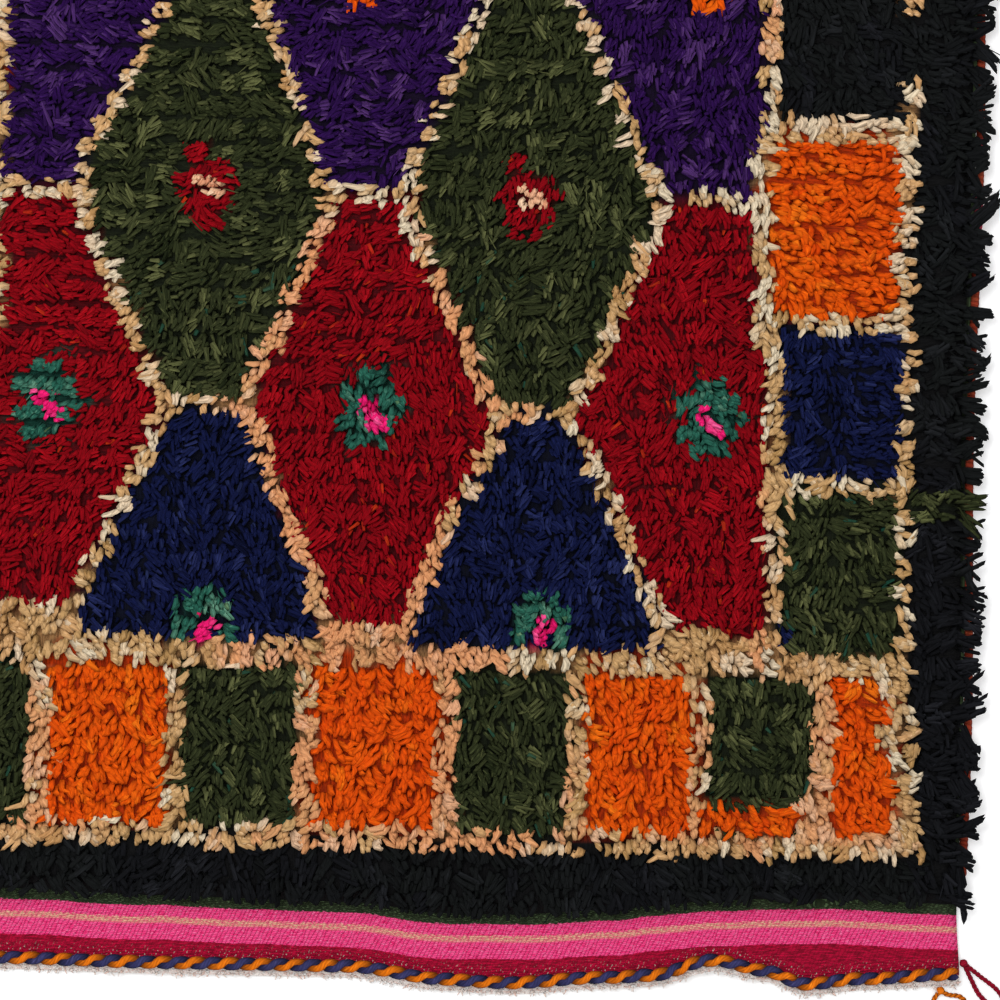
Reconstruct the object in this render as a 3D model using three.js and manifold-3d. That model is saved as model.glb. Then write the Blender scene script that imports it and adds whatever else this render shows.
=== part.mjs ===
// A tulu rug: a small long-pile rug of knotted wool, lying flat.
//
// Ground cloth with a striped plain-woven end and a folded hem at each short side, a field of
// long knotted pile, an overcast yarn down each long side, a twined two-colour cord across each
// end, and the loose yarn ends at the four corners.
//
// Millimetres, +Z up. The origin is under the middle of the rug, on the surface it lies on.
// +X runs across the rug and +Y along it; "near" is the end towards -Y.

import * as THREE from 'three';
import { mergeVertices } from 'three/addons/utils/BufferGeometryUtils.js';
import Module from 'manifold-3d';

const wasm = await Module();
wasm.setup();

// ---------- driving dimensions ----------

const CLOTH_WIDTH = 892;        // ground cloth, selvage to selvage
const CLOTH_LENGTH = 1176;      // hem to hem, before the ends' waves
const CLOTH_THICK = 3;
const CLEARANCE = 0.4;          // between one piece and the next
const END_FLARE = 4;            // how far each side spreads at the ends
const SIDE_WAVE = 1.6;          // how far the long sides wander
const SIDE_WAVELENGTH = 430;

const FLAT_WEAVE = 60;          // plain-woven end, as a rule, from the last knots to the hem
const LAST_ROW = 12;            // last row of knots, inwards from the stripes
const PILE_TOP = 17;            // height of the pile over the floor
const PILE_OVERHANG = 13;       // tufts past the cloth's long sides
const PILE_FOOT_INSET = 2;      // the pile's root line, inside the cloth's edge
const PILE_SIDE_RIM = 9.5;      // height of the tufts' lower line past the long sides
const PILE_END_RIM = 7.5;       // and over the plain-woven ends
const PILE_END_FOOT = 7;        // how far the tufts lean out over the ends
const PILE_RELIEF = 1.1;        // softness of the pile's top

const CORD_WIDTH = 10;          // twined cord, seen from above
const CORD_HEIGHT = 7;
const CORD_INSET = 11;          // cord's middle, from the hem's edge
const CORD_END_GAP = 3;         // cord's end, from the cloth's side

const SELVAGE_WIDTH = 7;        // overcast yarn down each long side
const SELVAGE_HEIGHT = 4;
const SELVAGE_END = 18;         // where it stops, short of the pile's end

const YARN_THICK = 3.6;         // loose yarn ends
const KNOT_RADIUS = 3.1;        // where they leave the cloth

// How far the hem's edge runs outside (+) or inside (-) its mean line, how far the free edge
// of the cloth lifts off the floor there, and how wide the stripes are that show between the
// hem and the pile. All are eased from row to row.
const NEAR_END = [
  { x: -446, out: 2, lift: 0.0, stripes: 54 },
  { x: -272, out: 3, lift: 0.0, stripes: 53 },
  { x: -160, out: 4, lift: 2.0, stripes: 51 },
  { x: -10, out: 4, lift: 0.0, stripes: 49 },
  { x: 60, out: 12, lift: 1.6, stripes: 49 },
  { x: 105, out: 14, lift: 0.0, stripes: 49 },
  { x: 185, out: 8, lift: 1.6, stripes: 51 },
  { x: 215, out: 6, lift: 1.0, stripes: 53 },
  { x: 263, out: -7, lift: 3.4, stripes: 45 },
  { x: 300, out: 0, lift: 1.8, stripes: 54 },
  { x: 332, out: 10, lift: 0.0, stripes: 65 },
  { x: 375, out: 5, lift: 0.0, stripes: 60 },
  { x: 446, out: 0, lift: 1.2, stripes: 53 },
];
const FAR_END = [
  { x: -446, out: -4, lift: 1.0, stripes: 50 },
  { x: -310, out: 4, lift: 0.0, stripes: 54 },
  { x: -170, out: -8, lift: 2.8, stripes: 46 },
  { x: -20, out: 2, lift: 0.0, stripes: 52 },
  { x: 110, out: 7, lift: 1.8, stripes: 54 },
  { x: 240, out: 3, lift: 0.0, stripes: 50 },
  { x: 350, out: 8, lift: 2.4, stripes: 55 },
  { x: 446, out: 0, lift: 0.0, stripes: 52 },
];

// Loose yarns at a corner, as steps outwards from the cloth's side and from the hem's edge.
const WEFT_ENDS = {
  knot: { across: 3.6, along: -17 },
  yarns: [
    [{ across: 15, along: -8 }, { across: 30, along: 4 }, { across: 37, along: 18 }],
    [{ across: 10, along: -3 }, { across: 15, along: 6 }, { across: 23, along: 14 }],
  ],
};
const CORD_ENDS = {
  knot: { across: -14, along: 3.6 },
  yarns: [
    [{ across: -19, along: 11 }, { across: -20, along: 18 }, { across: -24, along: 26 }],
    [{ across: -8, along: 7 }, { across: 0, along: 8 }, { across: 6, along: 12 }],
  ],
};

const COLUMNS = 38;             // facets of the cloth across the rug
const END_ROWS = [0, 7, 20, 38, 60];  // rows of the cloth inwards from each hem
const MIDDLE_ROWS = 7;
const PILE_EDGE_ROWS = [0, 4, 10, 20];  // rows of the pile inwards from its rim
const PILE_COLUMNS = 27;
const PILE_ROWS = 28;
const CORD_SIDES = 8;
const CORD_STEPS = 44;
const SELVAGE_STEPS = 18;

const SIDES = [{ name: 'left', sign: -1 }, { name: 'right', sign: 1 }];
const ENDS = [
  { name: 'near', sign: -1, table: NEAR_END },
  { name: 'far', sign: 1, table: FAR_END },
];

// ---------- outlines ----------

const smooth = (t) => {
  const c = Math.min(1, Math.max(0, t));
  return c * c * (3 - 2 * c);
};

/** Eases one column of a table of rows between its x values. */
function along(table, column, x) {
  const last = table.length - 1;
  if (x <= table[0].x) return table[0][column];
  if (x >= table[last].x) return table[last][column];
  const i = table.findIndex((row) => row.x > x) - 1;
  const [a, b] = [table[i], table[i + 1]];
  return a[column] + (b[column] - a[column]) * smooth((x - a.x) / (b.x - a.x));
}

/** y of an end's hem edge at x. */
const hemEdge = (end, x) => end.sign * (CLOTH_LENGTH / 2 + along(end.table, 'out', x));

/** y of an end's last row of knots at x. */
const pileEdge = (end, x) => hemEdge(end, x)
  - end.sign * (along(end.table, 'stripes', x) + LAST_ROW);

/** |x| of a long side at y: a slow wander, spreading at both ends. */
function sideEdge(sign, y) {
  const wander = SIDE_WAVE * Math.sin((2 * Math.PI * y) / SIDE_WAVELENGTH + sign);
  const nearHem = smooth((Math.abs(y) - (CLOTH_LENGTH / 2 - FLAT_WEAVE)) / FLAT_WEAVE);
  return CLOTH_WIDTH / 2 + wander + END_FLARE * nearHem;
}

/** Height of the cloth's underside: the plain-woven ends ripple a little. */
function clothLift(x, y) {
  const end = y < 0 ? ENDS[0] : ENDS[1];
  const outwards = (Math.abs(y) - Math.abs(pileEdge(end, x))) / FLAT_WEAVE;
  return along(end.table, 'lift', x) * smooth(outwards);
}

// ---------- solids ----------

function geometryFrom(points, triangles) {
  const geometry = new THREE.BufferGeometry();
  geometry.setAttribute('position', new THREE.Float32BufferAttribute(points.flat(), 3));
  geometry.setIndex(triangles);
  return mergeVertices(geometry);
}

/** The rim of a grid of columns by rows, as indices, anticlockwise from above. */
function rimOf(columns, rows) {
  const at = (i, j) => j * (columns + 1) + i;
  const rim = [];
  for (let i = 0; i < columns; i += 1) rim.push(at(i, 0));
  for (let j = 0; j < rows; j += 1) rim.push(at(columns, j));
  for (let i = columns; i > 0; i -= 1) rim.push(at(i, rows));
  for (let j = rows; j > 0; j -= 1) rim.push(at(0, j));
  return rim;
}

/** Triangles of a grid, facing up, or down when flipped. */
function gridTriangles(columns, rows, first, flipped) {
  const at = (i, j) => first + j * (columns + 1) + i;
  const triangles = [];
  for (let j = 0; j < rows; j += 1) {
    for (let i = 0; i < columns; i += 1) {
      const [a, b, c, d] = [at(i, j), at(i + 1, j), at(i + 1, j + 1), at(i, j + 1)];
      triangles.push(...(flipped ? [a, c, b, a, d, c] : [a, b, c, a, c, d]));
    }
  }
  return triangles;
}

/** Wall between an upper and a lower ring of indices, both anticlockwise from above. */
function wallTriangles(upper, lower) {
  const triangles = [];
  upper.forEach((a, i) => {
    const b = upper[(i + 1) % upper.length];
    const [c, d] = [lower[i], lower[(i + 1) % lower.length]];
    triangles.push(a, c, d, a, d, b);
  });
  return triangles;
}

/** The ground cloth: one sheet with its wavy hems, lifted a little at both ends. */
function groundCloth() {
  const [near, far] = ENDS;
  const inner = CLOTH_LENGTH / 2 - END_ROWS[END_ROWS.length - 1];
  const middle = Array.from(
    { length: MIDDLE_ROWS },
    (_, k) => inner * ((2 * (k + 1)) / (MIDDLE_ROWS + 1) - 1),
  );
  const rowY = [
    ...END_ROWS.map((inset) => (x) => hemEdge(near, x) + inset),
    ...middle.map((y) => () => y),
    ...END_ROWS.toReversed().map((inset) => (x) => hemEdge(far, x) - inset),
  ];
  const rows = rowY.length - 1;
  const surface = (height) => rowY.flatMap((yOf) => Array.from(
    { length: COLUMNS + 1 },
    (_, i) => {
      const across = (2 * i) / COLUMNS - 1;
      const y = yOf((across * CLOTH_WIDTH) / 2);
      const x = across * sideEdge(Math.sign(across), y);
      return [x, y, clothLift(x, y) + height];
    },
  ));
  const count = (COLUMNS + 1) * (rows + 1);
  const rim = rimOf(COLUMNS, rows);
  return geometryFrom(
    [...surface(CLOTH_THICK), ...surface(0)],
    [
      ...gridTriangles(COLUMNS, rows, 0, false),
      ...gridTriangles(COLUMNS, rows, count, true),
      ...wallTriangles(rim, rim.map((k) => k + count)),
    ],
  );
}

/** Evenly spaced stations between two ends, with closer ones beside each end. */
function stations(low, high, count) {
  const edge = PILE_EDGE_ROWS;
  const reach = edge[edge.length - 1];
  const step = (high - low - 2 * reach) / count;
  const inside = Array.from({ length: count - 1 }, (_, k) => low + reach + step * (k + 1));
  return [...edge.map((d) => low + d), ...inside, ...edge.toReversed().map((d) => high - d)];
}

/** The knotted pile: a thick low mass, round at its rim, leaning out past the sides and ends. */
function pile() {
  const [near, far] = ENDS;
  const halfWidth = CLOTH_WIDTH / 2 + PILE_OVERHANG;
  const halfLength = CLOTH_LENGTH / 2 - FLAT_WEAVE + PILE_END_FOOT;
  const xs = stations(-halfWidth, halfWidth, PILE_COLUMNS);
  const ys = stations(-halfLength, halfLength, PILE_ROWS);
  const [columns, rows] = [xs.length - 1, ys.length - 1];

  // the rim bulges and draws in from tuft to tuft
  const ragged = (s) => 1.4 * Math.sin(s / 17) + 1.1 * Math.sin(s / 41 + 2);
  const relief = (x, y) => PILE_RELIEF * (Math.sin(x / 33 + 1) * Math.sin(y / 47)
    + Math.sin((x + y) / 71));
  const place = (x, y) => {
    const end = y < 0 ? near : far;
    const shareX = x / halfWidth;
    const shareY = Math.abs(y) / halfLength;
    const edgeY = Math.abs(pileEdge(end, x)) + PILE_END_FOOT + ragged(x);
    return [shareX * (halfWidth + ragged(y)), end.sign * shareY * edgeY];
  };
  const top = ys.flatMap((y) => xs.map((x) => {
    const [px, py] = place(x, y);
    const toSide = halfWidth - Math.abs(x);
    const toEnd = halfLength - Math.abs(y);
    const rim = toSide < toEnd ? PILE_SIDE_RIM : PILE_END_RIM;
    const round = Math.sin((Math.PI / 2) * Math.min(1, Math.min(toSide, toEnd) / 20));
    return [px, py, rim + (PILE_TOP - rim + relief(px, py)) * round];
  }));
  const footX = (CLOTH_WIDTH / 2 - SIDE_WAVE - PILE_FOOT_INSET) / halfWidth;
  const footY = 1 - (PILE_END_FOOT + 2) / halfLength;
  const floor = CLOTH_THICK + CLEARANCE;
  const rim = rimOf(columns, rows);
  const foot = rim.map((k) => [top[k][0] * footX, top[k][1] * footY, floor]);
  const lower = foot.map((_, i) => top.length + i);
  const outline = foot.map(([x, y]) => new THREE.Vector2(x, y));
  const bottom = THREE.ShapeUtils.triangulateShape(outline, [])
    .flatMap(([a, b, c]) => [lower[a], lower[c], lower[b]]);
  return geometryFrom(
    [...top, ...foot],
    [...gridTriangles(columns, rows, 0, false), ...wallTriangles(rim, lower), ...bottom],
  );
}

/** A closed tube from its rings, each with the same number of points. */
function tube(rings) {
  const sides = rings[0].length;
  const points = [...rings.flat()];
  const triangles = [];
  for (let r = 0; r + 1 < rings.length; r += 1) {
    for (let s = 0; s < sides; s += 1) {
      const [a, b] = [r * sides + s, r * sides + ((s + 1) % sides)];
      triangles.push(a, b, b + sides, a, b + sides, a + sides);
    }
  }
  const last = (rings.length - 1) * sides;
  for (let s = 1; s + 1 < sides; s += 1) {
    triangles.push(0, s + 1, s, last, last + s, last + s + 1);
  }
  return geometryFrom(points, triangles);
}

/** The twined cord across an end, on the cloth, following the hem. */
function endCord(end) {
  const halfWidth = CLOTH_WIDTH / 2 + END_FLARE - CORD_END_GAP;
  const rings = Array.from({ length: CORD_STEPS + 1 }, (_, k) => {
    const x = halfWidth * ((2 * k) / CORD_STEPS - 1);
    const y = hemEdge(end, x) - end.sign * CORD_INSET;
    const over = Math.max(
      clothLift(x, y),
      clothLift(x, y - CORD_WIDTH / 3),
      clothLift(x, y + CORD_WIDTH / 3),
    );
    const z = over + CLOTH_THICK + CLEARANCE + CORD_HEIGHT / 2;
    return Array.from({ length: CORD_SIDES }, (__, s) => {
      const angle = (2 * Math.PI * (s + 0.5)) / CORD_SIDES;
      return [x, y + (CORD_WIDTH / 2) * Math.cos(angle), z + (CORD_HEIGHT / 2) * Math.sin(angle)];
    });
  });
  return tube(rings);
}

/** The overcast yarn down a long side, beside the cloth. */
function selvage(side) {
  const stop = (end) => pileEdge(end, (side.sign * CLOTH_WIDTH) / 2) - end.sign * SELVAGE_END;
  const [low, high] = ENDS.map(stop);
  const rings = Array.from({ length: SELVAGE_STEPS + 1 }, (_, k) => {
    const y = low + ((high - low) * k) / SELVAGE_STEPS;
    const x = side.sign * (sideEdge(side.sign, y) + CLEARANCE + SELVAGE_WIDTH / 2 + 0.3);
    return Array.from({ length: CORD_SIDES }, (__, s) => {
      const angle = (-2 * Math.PI * (s + 0.5)) / CORD_SIDES;
      const [c, d] = [Math.cos(angle), Math.sin(angle)];
      return [x + (SELVAGE_WIDTH / 2) * c, y, (SELVAGE_HEIGHT / 2) * (1 + d) + 0.15];
    });
  });
  return tube(rings);
}

function toManifold(geometry) {
  const bare = geometry.clone();
  bare.deleteAttribute('normal');
  bare.deleteAttribute('uv');
  const merged = mergeVertices(bare);
  return new wasm.Manifold(new wasm.Mesh({
    numProp: 3,
    vertProperties: merged.attributes.position.array,
    triVerts: new Uint32Array(merged.index.array),
  }));
}

/** Loose yarns that leave the corner from one small knot, lying on the floor. */
function looseEnds(side, end, plan) {
  const place = ({ across, along: outwards }) => {
    const hem = hemEdge(end, side.sign * (CLOTH_WIDTH / 2 + END_FLARE + across));
    const y = hem + end.sign * outwards;
    const x = side.sign * (sideEdge(side.sign, y) + across);
    return new THREE.Vector3(x, y, YARN_THICK / 2 + CLEARANCE);
  };
  const knotAt = place(plan.knot);
  const knot = new THREE.SphereGeometry(KNOT_RADIUS, 8, 5);
  knot.translate(knotAt.x, knotAt.y, KNOT_RADIUS + 0.3);
  const section = new THREE.Shape(Array.from({ length: 6 }, (_, s) => {
    const angle = (Math.PI * s) / 3;
    return new THREE.Vector2(Math.cos(angle), Math.sin(angle)).multiplyScalar(YARN_THICK / 2);
  }));
  const yarns = plan.yarns.map((steps) => new THREE.ExtrudeGeometry(section, {
    steps: 7,
    extrudePath: new THREE.CatmullRomCurve3([knotAt, ...steps.map(place)]),
    bevelEnabled: false,
  }));
  const body = yarns.reduce((sum, yarn) => sum.add(toManifold(yarn)), toManifold(knot));
  const { vertProperties, triVerts } = body.getMesh();
  const geometry = new THREE.BufferGeometry();
  geometry.setAttribute('position', new THREE.BufferAttribute(vertProperties, 3));
  geometry.setIndex(new THREE.BufferAttribute(triVerts, 1));
  return geometry;
}

// ---------- finishes ----------

const WOOL = { roughness: 0.95, metalness: 0 };
const FINISHES = {
  ground_wool: new THREE.MeshStandardMaterial({ color: 0xcf4a6e, ...WOOL }),
  pile_wool: new THREE.MeshStandardMaterial({ color: 0x6b1a22, ...WOOL }),
  cord_wool: new THREE.MeshStandardMaterial({ color: 0xc96a12, ...WOOL }),
  selvage_wool: new THREE.MeshStandardMaterial({ color: 0x7a3224, ...WOOL }),
  weft_wool: new THREE.MeshStandardMaterial({ color: 0x780a22, ...WOOL }),
};

// ---------- the rug ----------

const rug = new THREE.Group();

function add(name, geometry, finish) {
  geometry.computeVertexNormals();
  const mesh = new THREE.Mesh(geometry, FINISHES[finish]);
  mesh.name = name;
  rug.add(mesh);
}

add('ground_cloth', groundCloth(), 'ground_wool');
add('pile', pile(), 'pile_wool');
for (const side of SIDES) add(`selvage_${side.name}`, selvage(side), 'selvage_wool');
for (const end of ENDS) add(`end_cord_${end.name}`, endCord(end), 'cord_wool');
for (const end of ENDS) {
  for (const side of SIDES) {
    add(`weft_ends_${end.name}_${side.name}`, looseEnds(side, end, WEFT_ENDS), 'weft_wool');
    add(`cord_ends_${end.name}_${side.name}`, looseEnds(side, end, CORD_ENDS), 'cord_wool');
  }
}

export default rug;
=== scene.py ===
"""Tulu rug: long knotted wool pile, striped plain-woven ends, twined end cords, overcast sides.

Lengths are millimetres in the classes and become metres when a mesh is made. The origin is under
the middle of the rug, +X across it, +Y along it, +Z up.
"""

import logging
import math
from dataclasses import dataclass, field, fields
from enum import Enum
from functools import partialmethod

import bpy
import numpy as np
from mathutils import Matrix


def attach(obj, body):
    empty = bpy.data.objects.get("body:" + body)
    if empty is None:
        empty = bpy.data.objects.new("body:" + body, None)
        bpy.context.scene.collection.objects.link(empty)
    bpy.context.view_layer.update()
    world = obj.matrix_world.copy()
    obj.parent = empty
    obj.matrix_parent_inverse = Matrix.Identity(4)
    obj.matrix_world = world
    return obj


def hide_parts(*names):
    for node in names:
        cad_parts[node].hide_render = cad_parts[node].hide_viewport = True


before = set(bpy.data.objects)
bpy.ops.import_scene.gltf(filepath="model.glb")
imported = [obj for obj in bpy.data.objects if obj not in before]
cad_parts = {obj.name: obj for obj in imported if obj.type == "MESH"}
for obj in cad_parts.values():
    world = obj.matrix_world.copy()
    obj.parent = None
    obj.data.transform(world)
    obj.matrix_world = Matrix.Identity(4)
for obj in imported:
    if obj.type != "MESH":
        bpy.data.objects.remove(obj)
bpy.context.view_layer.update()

LOG = logging.getLogger("tulu_rug")
MM = 0.001
BODY = "root"

Color = tuple[float, float, float]
Array = np.ndarray


# ---------- small helpers ----------


def smooth(t: Array) -> Array:
    """Ease from 0 to 1: t squared times (3 - 2t), held at both ends."""
    c = np.clip(t, 0.0, 1.0)
    return c * c * (3.0 - 2.0 * c)


def srgb(red: int, green: int, blue: int) -> Color:
    """Linear colour of an 8-bit sRGB triple."""
    parts = (v / 255.0 for v in (red, green, blue))
    return tuple(v / 12.92 if v <= 0.04045 else ((v + 0.055) / 1.055) ** 2.4 for v in parts)


def eased(table: Array, column: int, x: Array) -> Array:
    """Value of one column of a table between its x values, eased from row to row.

    Args:
        table: rows whose first column is x, rising.
        column: the column that is read.
        x: where it is read.

    Returns:
        One value for each x.
    """
    last = len(table) - 1
    i = np.clip(np.searchsorted(table[:, 0], x, side="right") - 1, 0, last - 1)
    a, b = table[i], table[i + 1]
    share = smooth((x - a[..., 0]) / (b[..., 0] - a[..., 0]))
    return a[..., column] + (b[..., column] - a[..., column]) * share


def wander(seed: int, at: Array, wavelength: float) -> Array:
    """Slow noise from -1 to 1 along a line: random knots, eased from one to the next.

    Args:
        seed: picks the line's own noise.
        at: places along the line.
        wavelength: distance between two random knots.

    Returns:
        One value for each place.
    """
    count = 4096
    knots = np.random.default_rng(seed).uniform(-1.0, 1.0, count)
    t = np.asarray(at, float) / wavelength + count / 2
    i = np.floor(t).astype(int) % (count - 1)
    return knots[i] + (knots[i + 1] - knots[i]) * smooth(t - np.floor(t))


def unit(vectors: Array) -> Array:
    """Each row of vectors at a length of 1."""
    return vectors / np.maximum(np.linalg.norm(vectors, axis=1, keepdims=True), 1e-9)


def beside(tangent: Array) -> tuple[Array, Array]:
    """Directions square to unit tangents: the level (-ty, tx, 0), and the cross product of both."""
    across = unit(np.stack([-tangent[:, 1], tangent[:, 0], np.zeros(len(tangent))], axis=1))
    return across, np.cross(tangent, across)


def along(path: Array) -> tuple[Array, Array]:
    """Unit tangents of a path, and the distance run at each of its stations."""
    steps = np.linalg.norm(np.diff(path, axis=0), axis=1)
    return unit(np.gradient(path, axis=0)), np.concatenate([[0.0], np.cumsum(steps)])


# ---------- the rug's own sizes ----------

# Along each hem: x, how far the edge runs out past its mean line, how far the cloth lifts there,
# and how wide the stripes are that show between the hem and the pile.
NEAR_HEM = np.array([
    (-446, 2, 0.0, 54), (-272, 3, 0.0, 53), (-160, 4, 2.0, 51), (-10, 4, 0.0, 49),
    (60, 12, 1.6, 50), (105, 14, 0.0, 52), (185, 8, 1.6, 51), (215, 6, 1.0, 53),
    (263, -7, 3.4, 45), (300, 0, 1.8, 54), (332, 10, 0.0, 65), (375, 5, 0.0, 60),
    (446, 0, 1.2, 53),
])
FAR_HEM = np.array([
    (-446, -4, 1.0, 50), (-310, 4, 0.0, 54), (-170, -8, 2.8, 46), (-20, 2, 0.0, 52),
    (110, 7, 1.8, 54), (240, 3, 0.0, 50), (350, 8, 2.4, 55), (446, 0, 0.0, 52),
])


class Edge(Enum):
    """An edge of the rug."""

    @property
    def label(self) -> str:
        """Its word in the names of pieces."""
        return self.name.lower()


class End(Edge):
    """A short side of the rug; the value is the sign of its y."""

    NEAR = -1
    FAR = 1

    def read(self, column: int, x: Array) -> Array:
        """One column of the end's hem table at x."""
        return eased(NEAR_HEM if self is End.NEAR else FAR_HEM, column, np.asarray(x, float))


class Side(Edge):
    """A long side of the rug; the value is the sign of its x."""

    LEFT = -1
    RIGHT = 1


@dataclass(frozen=True)
class RugShape:
    """Outline of the rug, shared by all its pieces, in millimetres."""

    width: float = 892.0
    length: float = 1176.0
    thick: float = 3.0
    clearance: float = 0.4
    end_flare: float = 4.0
    side_wave: float = 1.6
    side_wavelength: float = 430.0
    flat_weave: float = 60.0
    last_row: float = 12.0

    def hem_edge(self, end: End, x: Array) -> Array:
        """y of an end's hem: half the length plus the table's own wave."""
        return end.value * (self.length / 2 + end.read(1, x))

    def stripes_edge(self, end: End, x: Array) -> Array:
        """y where the stripes of an end begin, just past the tips of its last tufts."""
        return self.hem_edge(end, x) - end.value * end.read(3, x)

    def pile_edge(self, end: End, x: Array) -> Array:
        """y of an end's last row of knots."""
        return self.stripes_edge(end, x) - end.value * self.last_row

    def side_edge(self, sign: int, y: Array) -> Array:
        """|x| of a long side: half the width, a slow sine, spreading at both ends.

        Args:
            sign: of the side's x.
            y: places along the side.

        Returns:
            One |x| for each y.
        """
        drift = self.side_wave * np.sin(2 * np.pi * y / self.side_wavelength + sign)
        near_hem = smooth((np.abs(y) - (self.length / 2 - self.flat_weave)) / self.flat_weave)
        return self.width / 2 + drift + self.end_flare * near_hem

    def lift(self, x: Array, y: Array) -> Array:
        """Height of the cloth's underside: the hem's lift, eased in over the plain weave.

        Args:
            x: places across the rug.
            y: places along it.

        Returns:
            One height for each place.
        """
        x, y = np.broadcast_arrays(np.asarray(x, float), np.asarray(y, float))
        near, far = (
            end.read(2, x)
            * smooth((end.value * y - np.abs(self.pile_edge(end, x))) / self.flat_weave)
            for end in End
        )
        return np.where(y < 0, near, far)


SHAPE = RugShape()


# ---------- meshes ----------


class Surface:
    """Vertices and triangles of one closed piece, with values carried at its vertices."""

    def __init__(self, points: Array, triangles: Array) -> None:
        """Keeps the mesh.

        Args:
            points: the vertices, in millimetres.
            triangles: three vertex numbers for each.
        """
        self.points = np.asarray(points, float)
        self.triangles = np.asarray(triangles, np.int64)
        self.values: dict[str, Array] = {}
        self.map: Array | None = None

    def carry(self, **values: Array | float) -> "Surface":
        """Adds named values to the vertices.

        Args:
            values: each one number for all the vertices, or one row for each of them.

        Returns:
            The surface itself.
        """
        for key, value in values.items():
            held = np.asarray(value, float)
            self.values[key] = held if held.ndim else np.full(len(self.points), held)
        return self

    @staticmethod
    def joined(parts: list["Surface"]) -> "Surface":
        """One surface out of several that carry the same values.

        Args:
            parts: the surfaces, in order.

        Returns:
            A surface with all their vertices and triangles.
        """
        starts = np.cumsum([0] + [len(p.points) for p in parts[:-1]])
        whole = Surface(
            np.concatenate([p.points for p in parts]),
            np.concatenate([p.triangles + s for p, s in zip(parts, starts)]),
        )
        names = parts[0].values
        whole.values = {n: np.concatenate([p.values[n] for p in parts]) for n in names}
        return whole

    def build(self, name: str, material: bpy.types.Material, slot: str) -> bpy.types.Object:
        """Makes the object, smooth, at the origin, riding on the rug's body.

        Args:
            name: the piece's name.
            material: its finish.
            slot: not used.

        Returns:
            The new object.
        """
        mesh = bpy.data.meshes.new(name)
        count = len(self.triangles)
        mesh.vertices.add(len(self.points))
        mesh.vertices.foreach_set("co", (self.points * MM).astype(np.float32).ravel())
        mesh.loops.add(count * 3)
        mesh.loops.foreach_set("vertex_index", self.triangles.astype(np.int32).ravel())
        mesh.polygons.add(count)
        mesh.polygons.foreach_set("loop_start", np.arange(0, count * 3, 3, dtype=np.int32))
        mesh.polygons.foreach_set("use_smooth", np.ones(count, bool))
        for key, value in self.values.items():
            kind, field_name = ("FLOAT_VECTOR", "vector") if value.ndim == 2 else ("FLOAT", "value")
            layer = mesh.attributes.new(key, kind, "POINT")
            layer.data.foreach_set(field_name, value.astype(np.float32).ravel())
        if self.map is not None:
            layer = mesh.uv_layers.new(name="OFBake")
            layer.uv.foreach_set("vector", self.map.astype(np.float32).ravel())
        mesh.update()
        mesh.validate()
        piece = bpy.data.objects.new(name, mesh)
        bpy.context.scene.collection.objects.link(piece)
        mesh.materials.append(material)
        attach(piece, BODY)
        LOG.info("%s: %d triangles", name, count)
        return piece


def grid_triangles(columns: int, rows: int, wrapped: bool = False) -> Array:
    """Triangles of a grid of points held row by row, anticlockwise from its upper side.

    Args:
        columns: points in a row.
        rows: number of rows.
        wrapped: the last column joins the first, as round a tube.

    Returns:
        Vertex indices, three to a triangle.
    """
    i = np.arange(columns if wrapped else columns - 1)
    j = np.arange(rows - 1)[:, None]
    a = j * columns + i
    b = j * columns + (i + 1) % columns
    quads = np.stack([a, b, b + columns, a + columns], axis=-1).reshape(-1, 4)
    return np.concatenate([quads[:, [0, 1, 2]], quads[:, [0, 2, 3]]])


def slab(top: Array, bottom: Array) -> Surface:
    """A closed sheet between two grids of points: the lower one's triangles are turned over, and
    one wall runs round the rim.

    Args:
        top: rows by columns by 3.
        bottom: the same shape, under it.

    Returns:
        The closed surface.
    """
    rows, columns = top.shape[:2]
    count = rows * columns
    index = np.arange(count).reshape(rows, columns)
    rim = np.concatenate([index[0, :-1], index[:-1, -1], index[-1, :0:-1], index[:0:-1, 0]])
    after = np.roll(rim, -1)
    faces = grid_triangles(columns, rows)
    return Surface(
        np.concatenate([top.reshape(-1, 3), bottom.reshape(-1, 3)]),
        np.concatenate([
            faces,
            faces[:, ::-1] + count,
            np.stack([rim, rim + count, after + count], axis=-1),
            np.stack([rim, after + count, after], axis=-1),
        ]),
    )


def tube(path: Array, radius: Array, sides: int, flat: float = 1.0) -> Surface:
    """A closed tube: a ring carried along a path, with a point at each end.

    Each ring is across * cos(angle) + up * sin(angle), times the radius, where across is level
    and square to the path. The piece carries `section`: cos and sin of the angle, and the
    distance along the path in millimetres.

    Args:
        path: stations by 3.
        radius: one radius for each station.
        sides: points round a ring.
        flat: height of the section over its width.

    Returns:
        The closed surface.
    """
    point_out = 0.6
    tangent, run = along(path)
    across, up = beside(tangent)
    angle = np.linspace(0, 2 * np.pi, sides, endpoint=False)
    cos, sin = np.cos(angle), np.sin(angle)
    ring = across[:, None] * cos[None, :, None] + up[:, None] * sin[None, :, None] * flat
    points = path[:, None] + ring * np.asarray(radius)[:, None, None]
    count = len(path) * sides
    caps = [path[k] + way * tangent[k] * radius[k] * point_out for k, way in ((0, -1), (-1, 1))]
    i = np.arange(sides)
    after = (i + 1) % sides
    last = count - sides
    section = np.stack(np.broadcast_arrays(cos, sin, run[:, None]), axis=-1).reshape(-1, 3)
    ends = np.array([(0, 0, 0), (0, 0, run[-1])], float)
    return Surface(
        np.concatenate([points.reshape(-1, 3), caps]),
        np.concatenate([
            grid_triangles(sides, len(path), wrapped=True),
            np.stack([np.full(sides, count), after, i], axis=-1),
            np.stack([np.full(sides, count + 1), last + i, last + after], axis=-1),
        ]),
    ).carry(section=np.concatenate([section, ends]))


# ---------- finishes ----------


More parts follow.
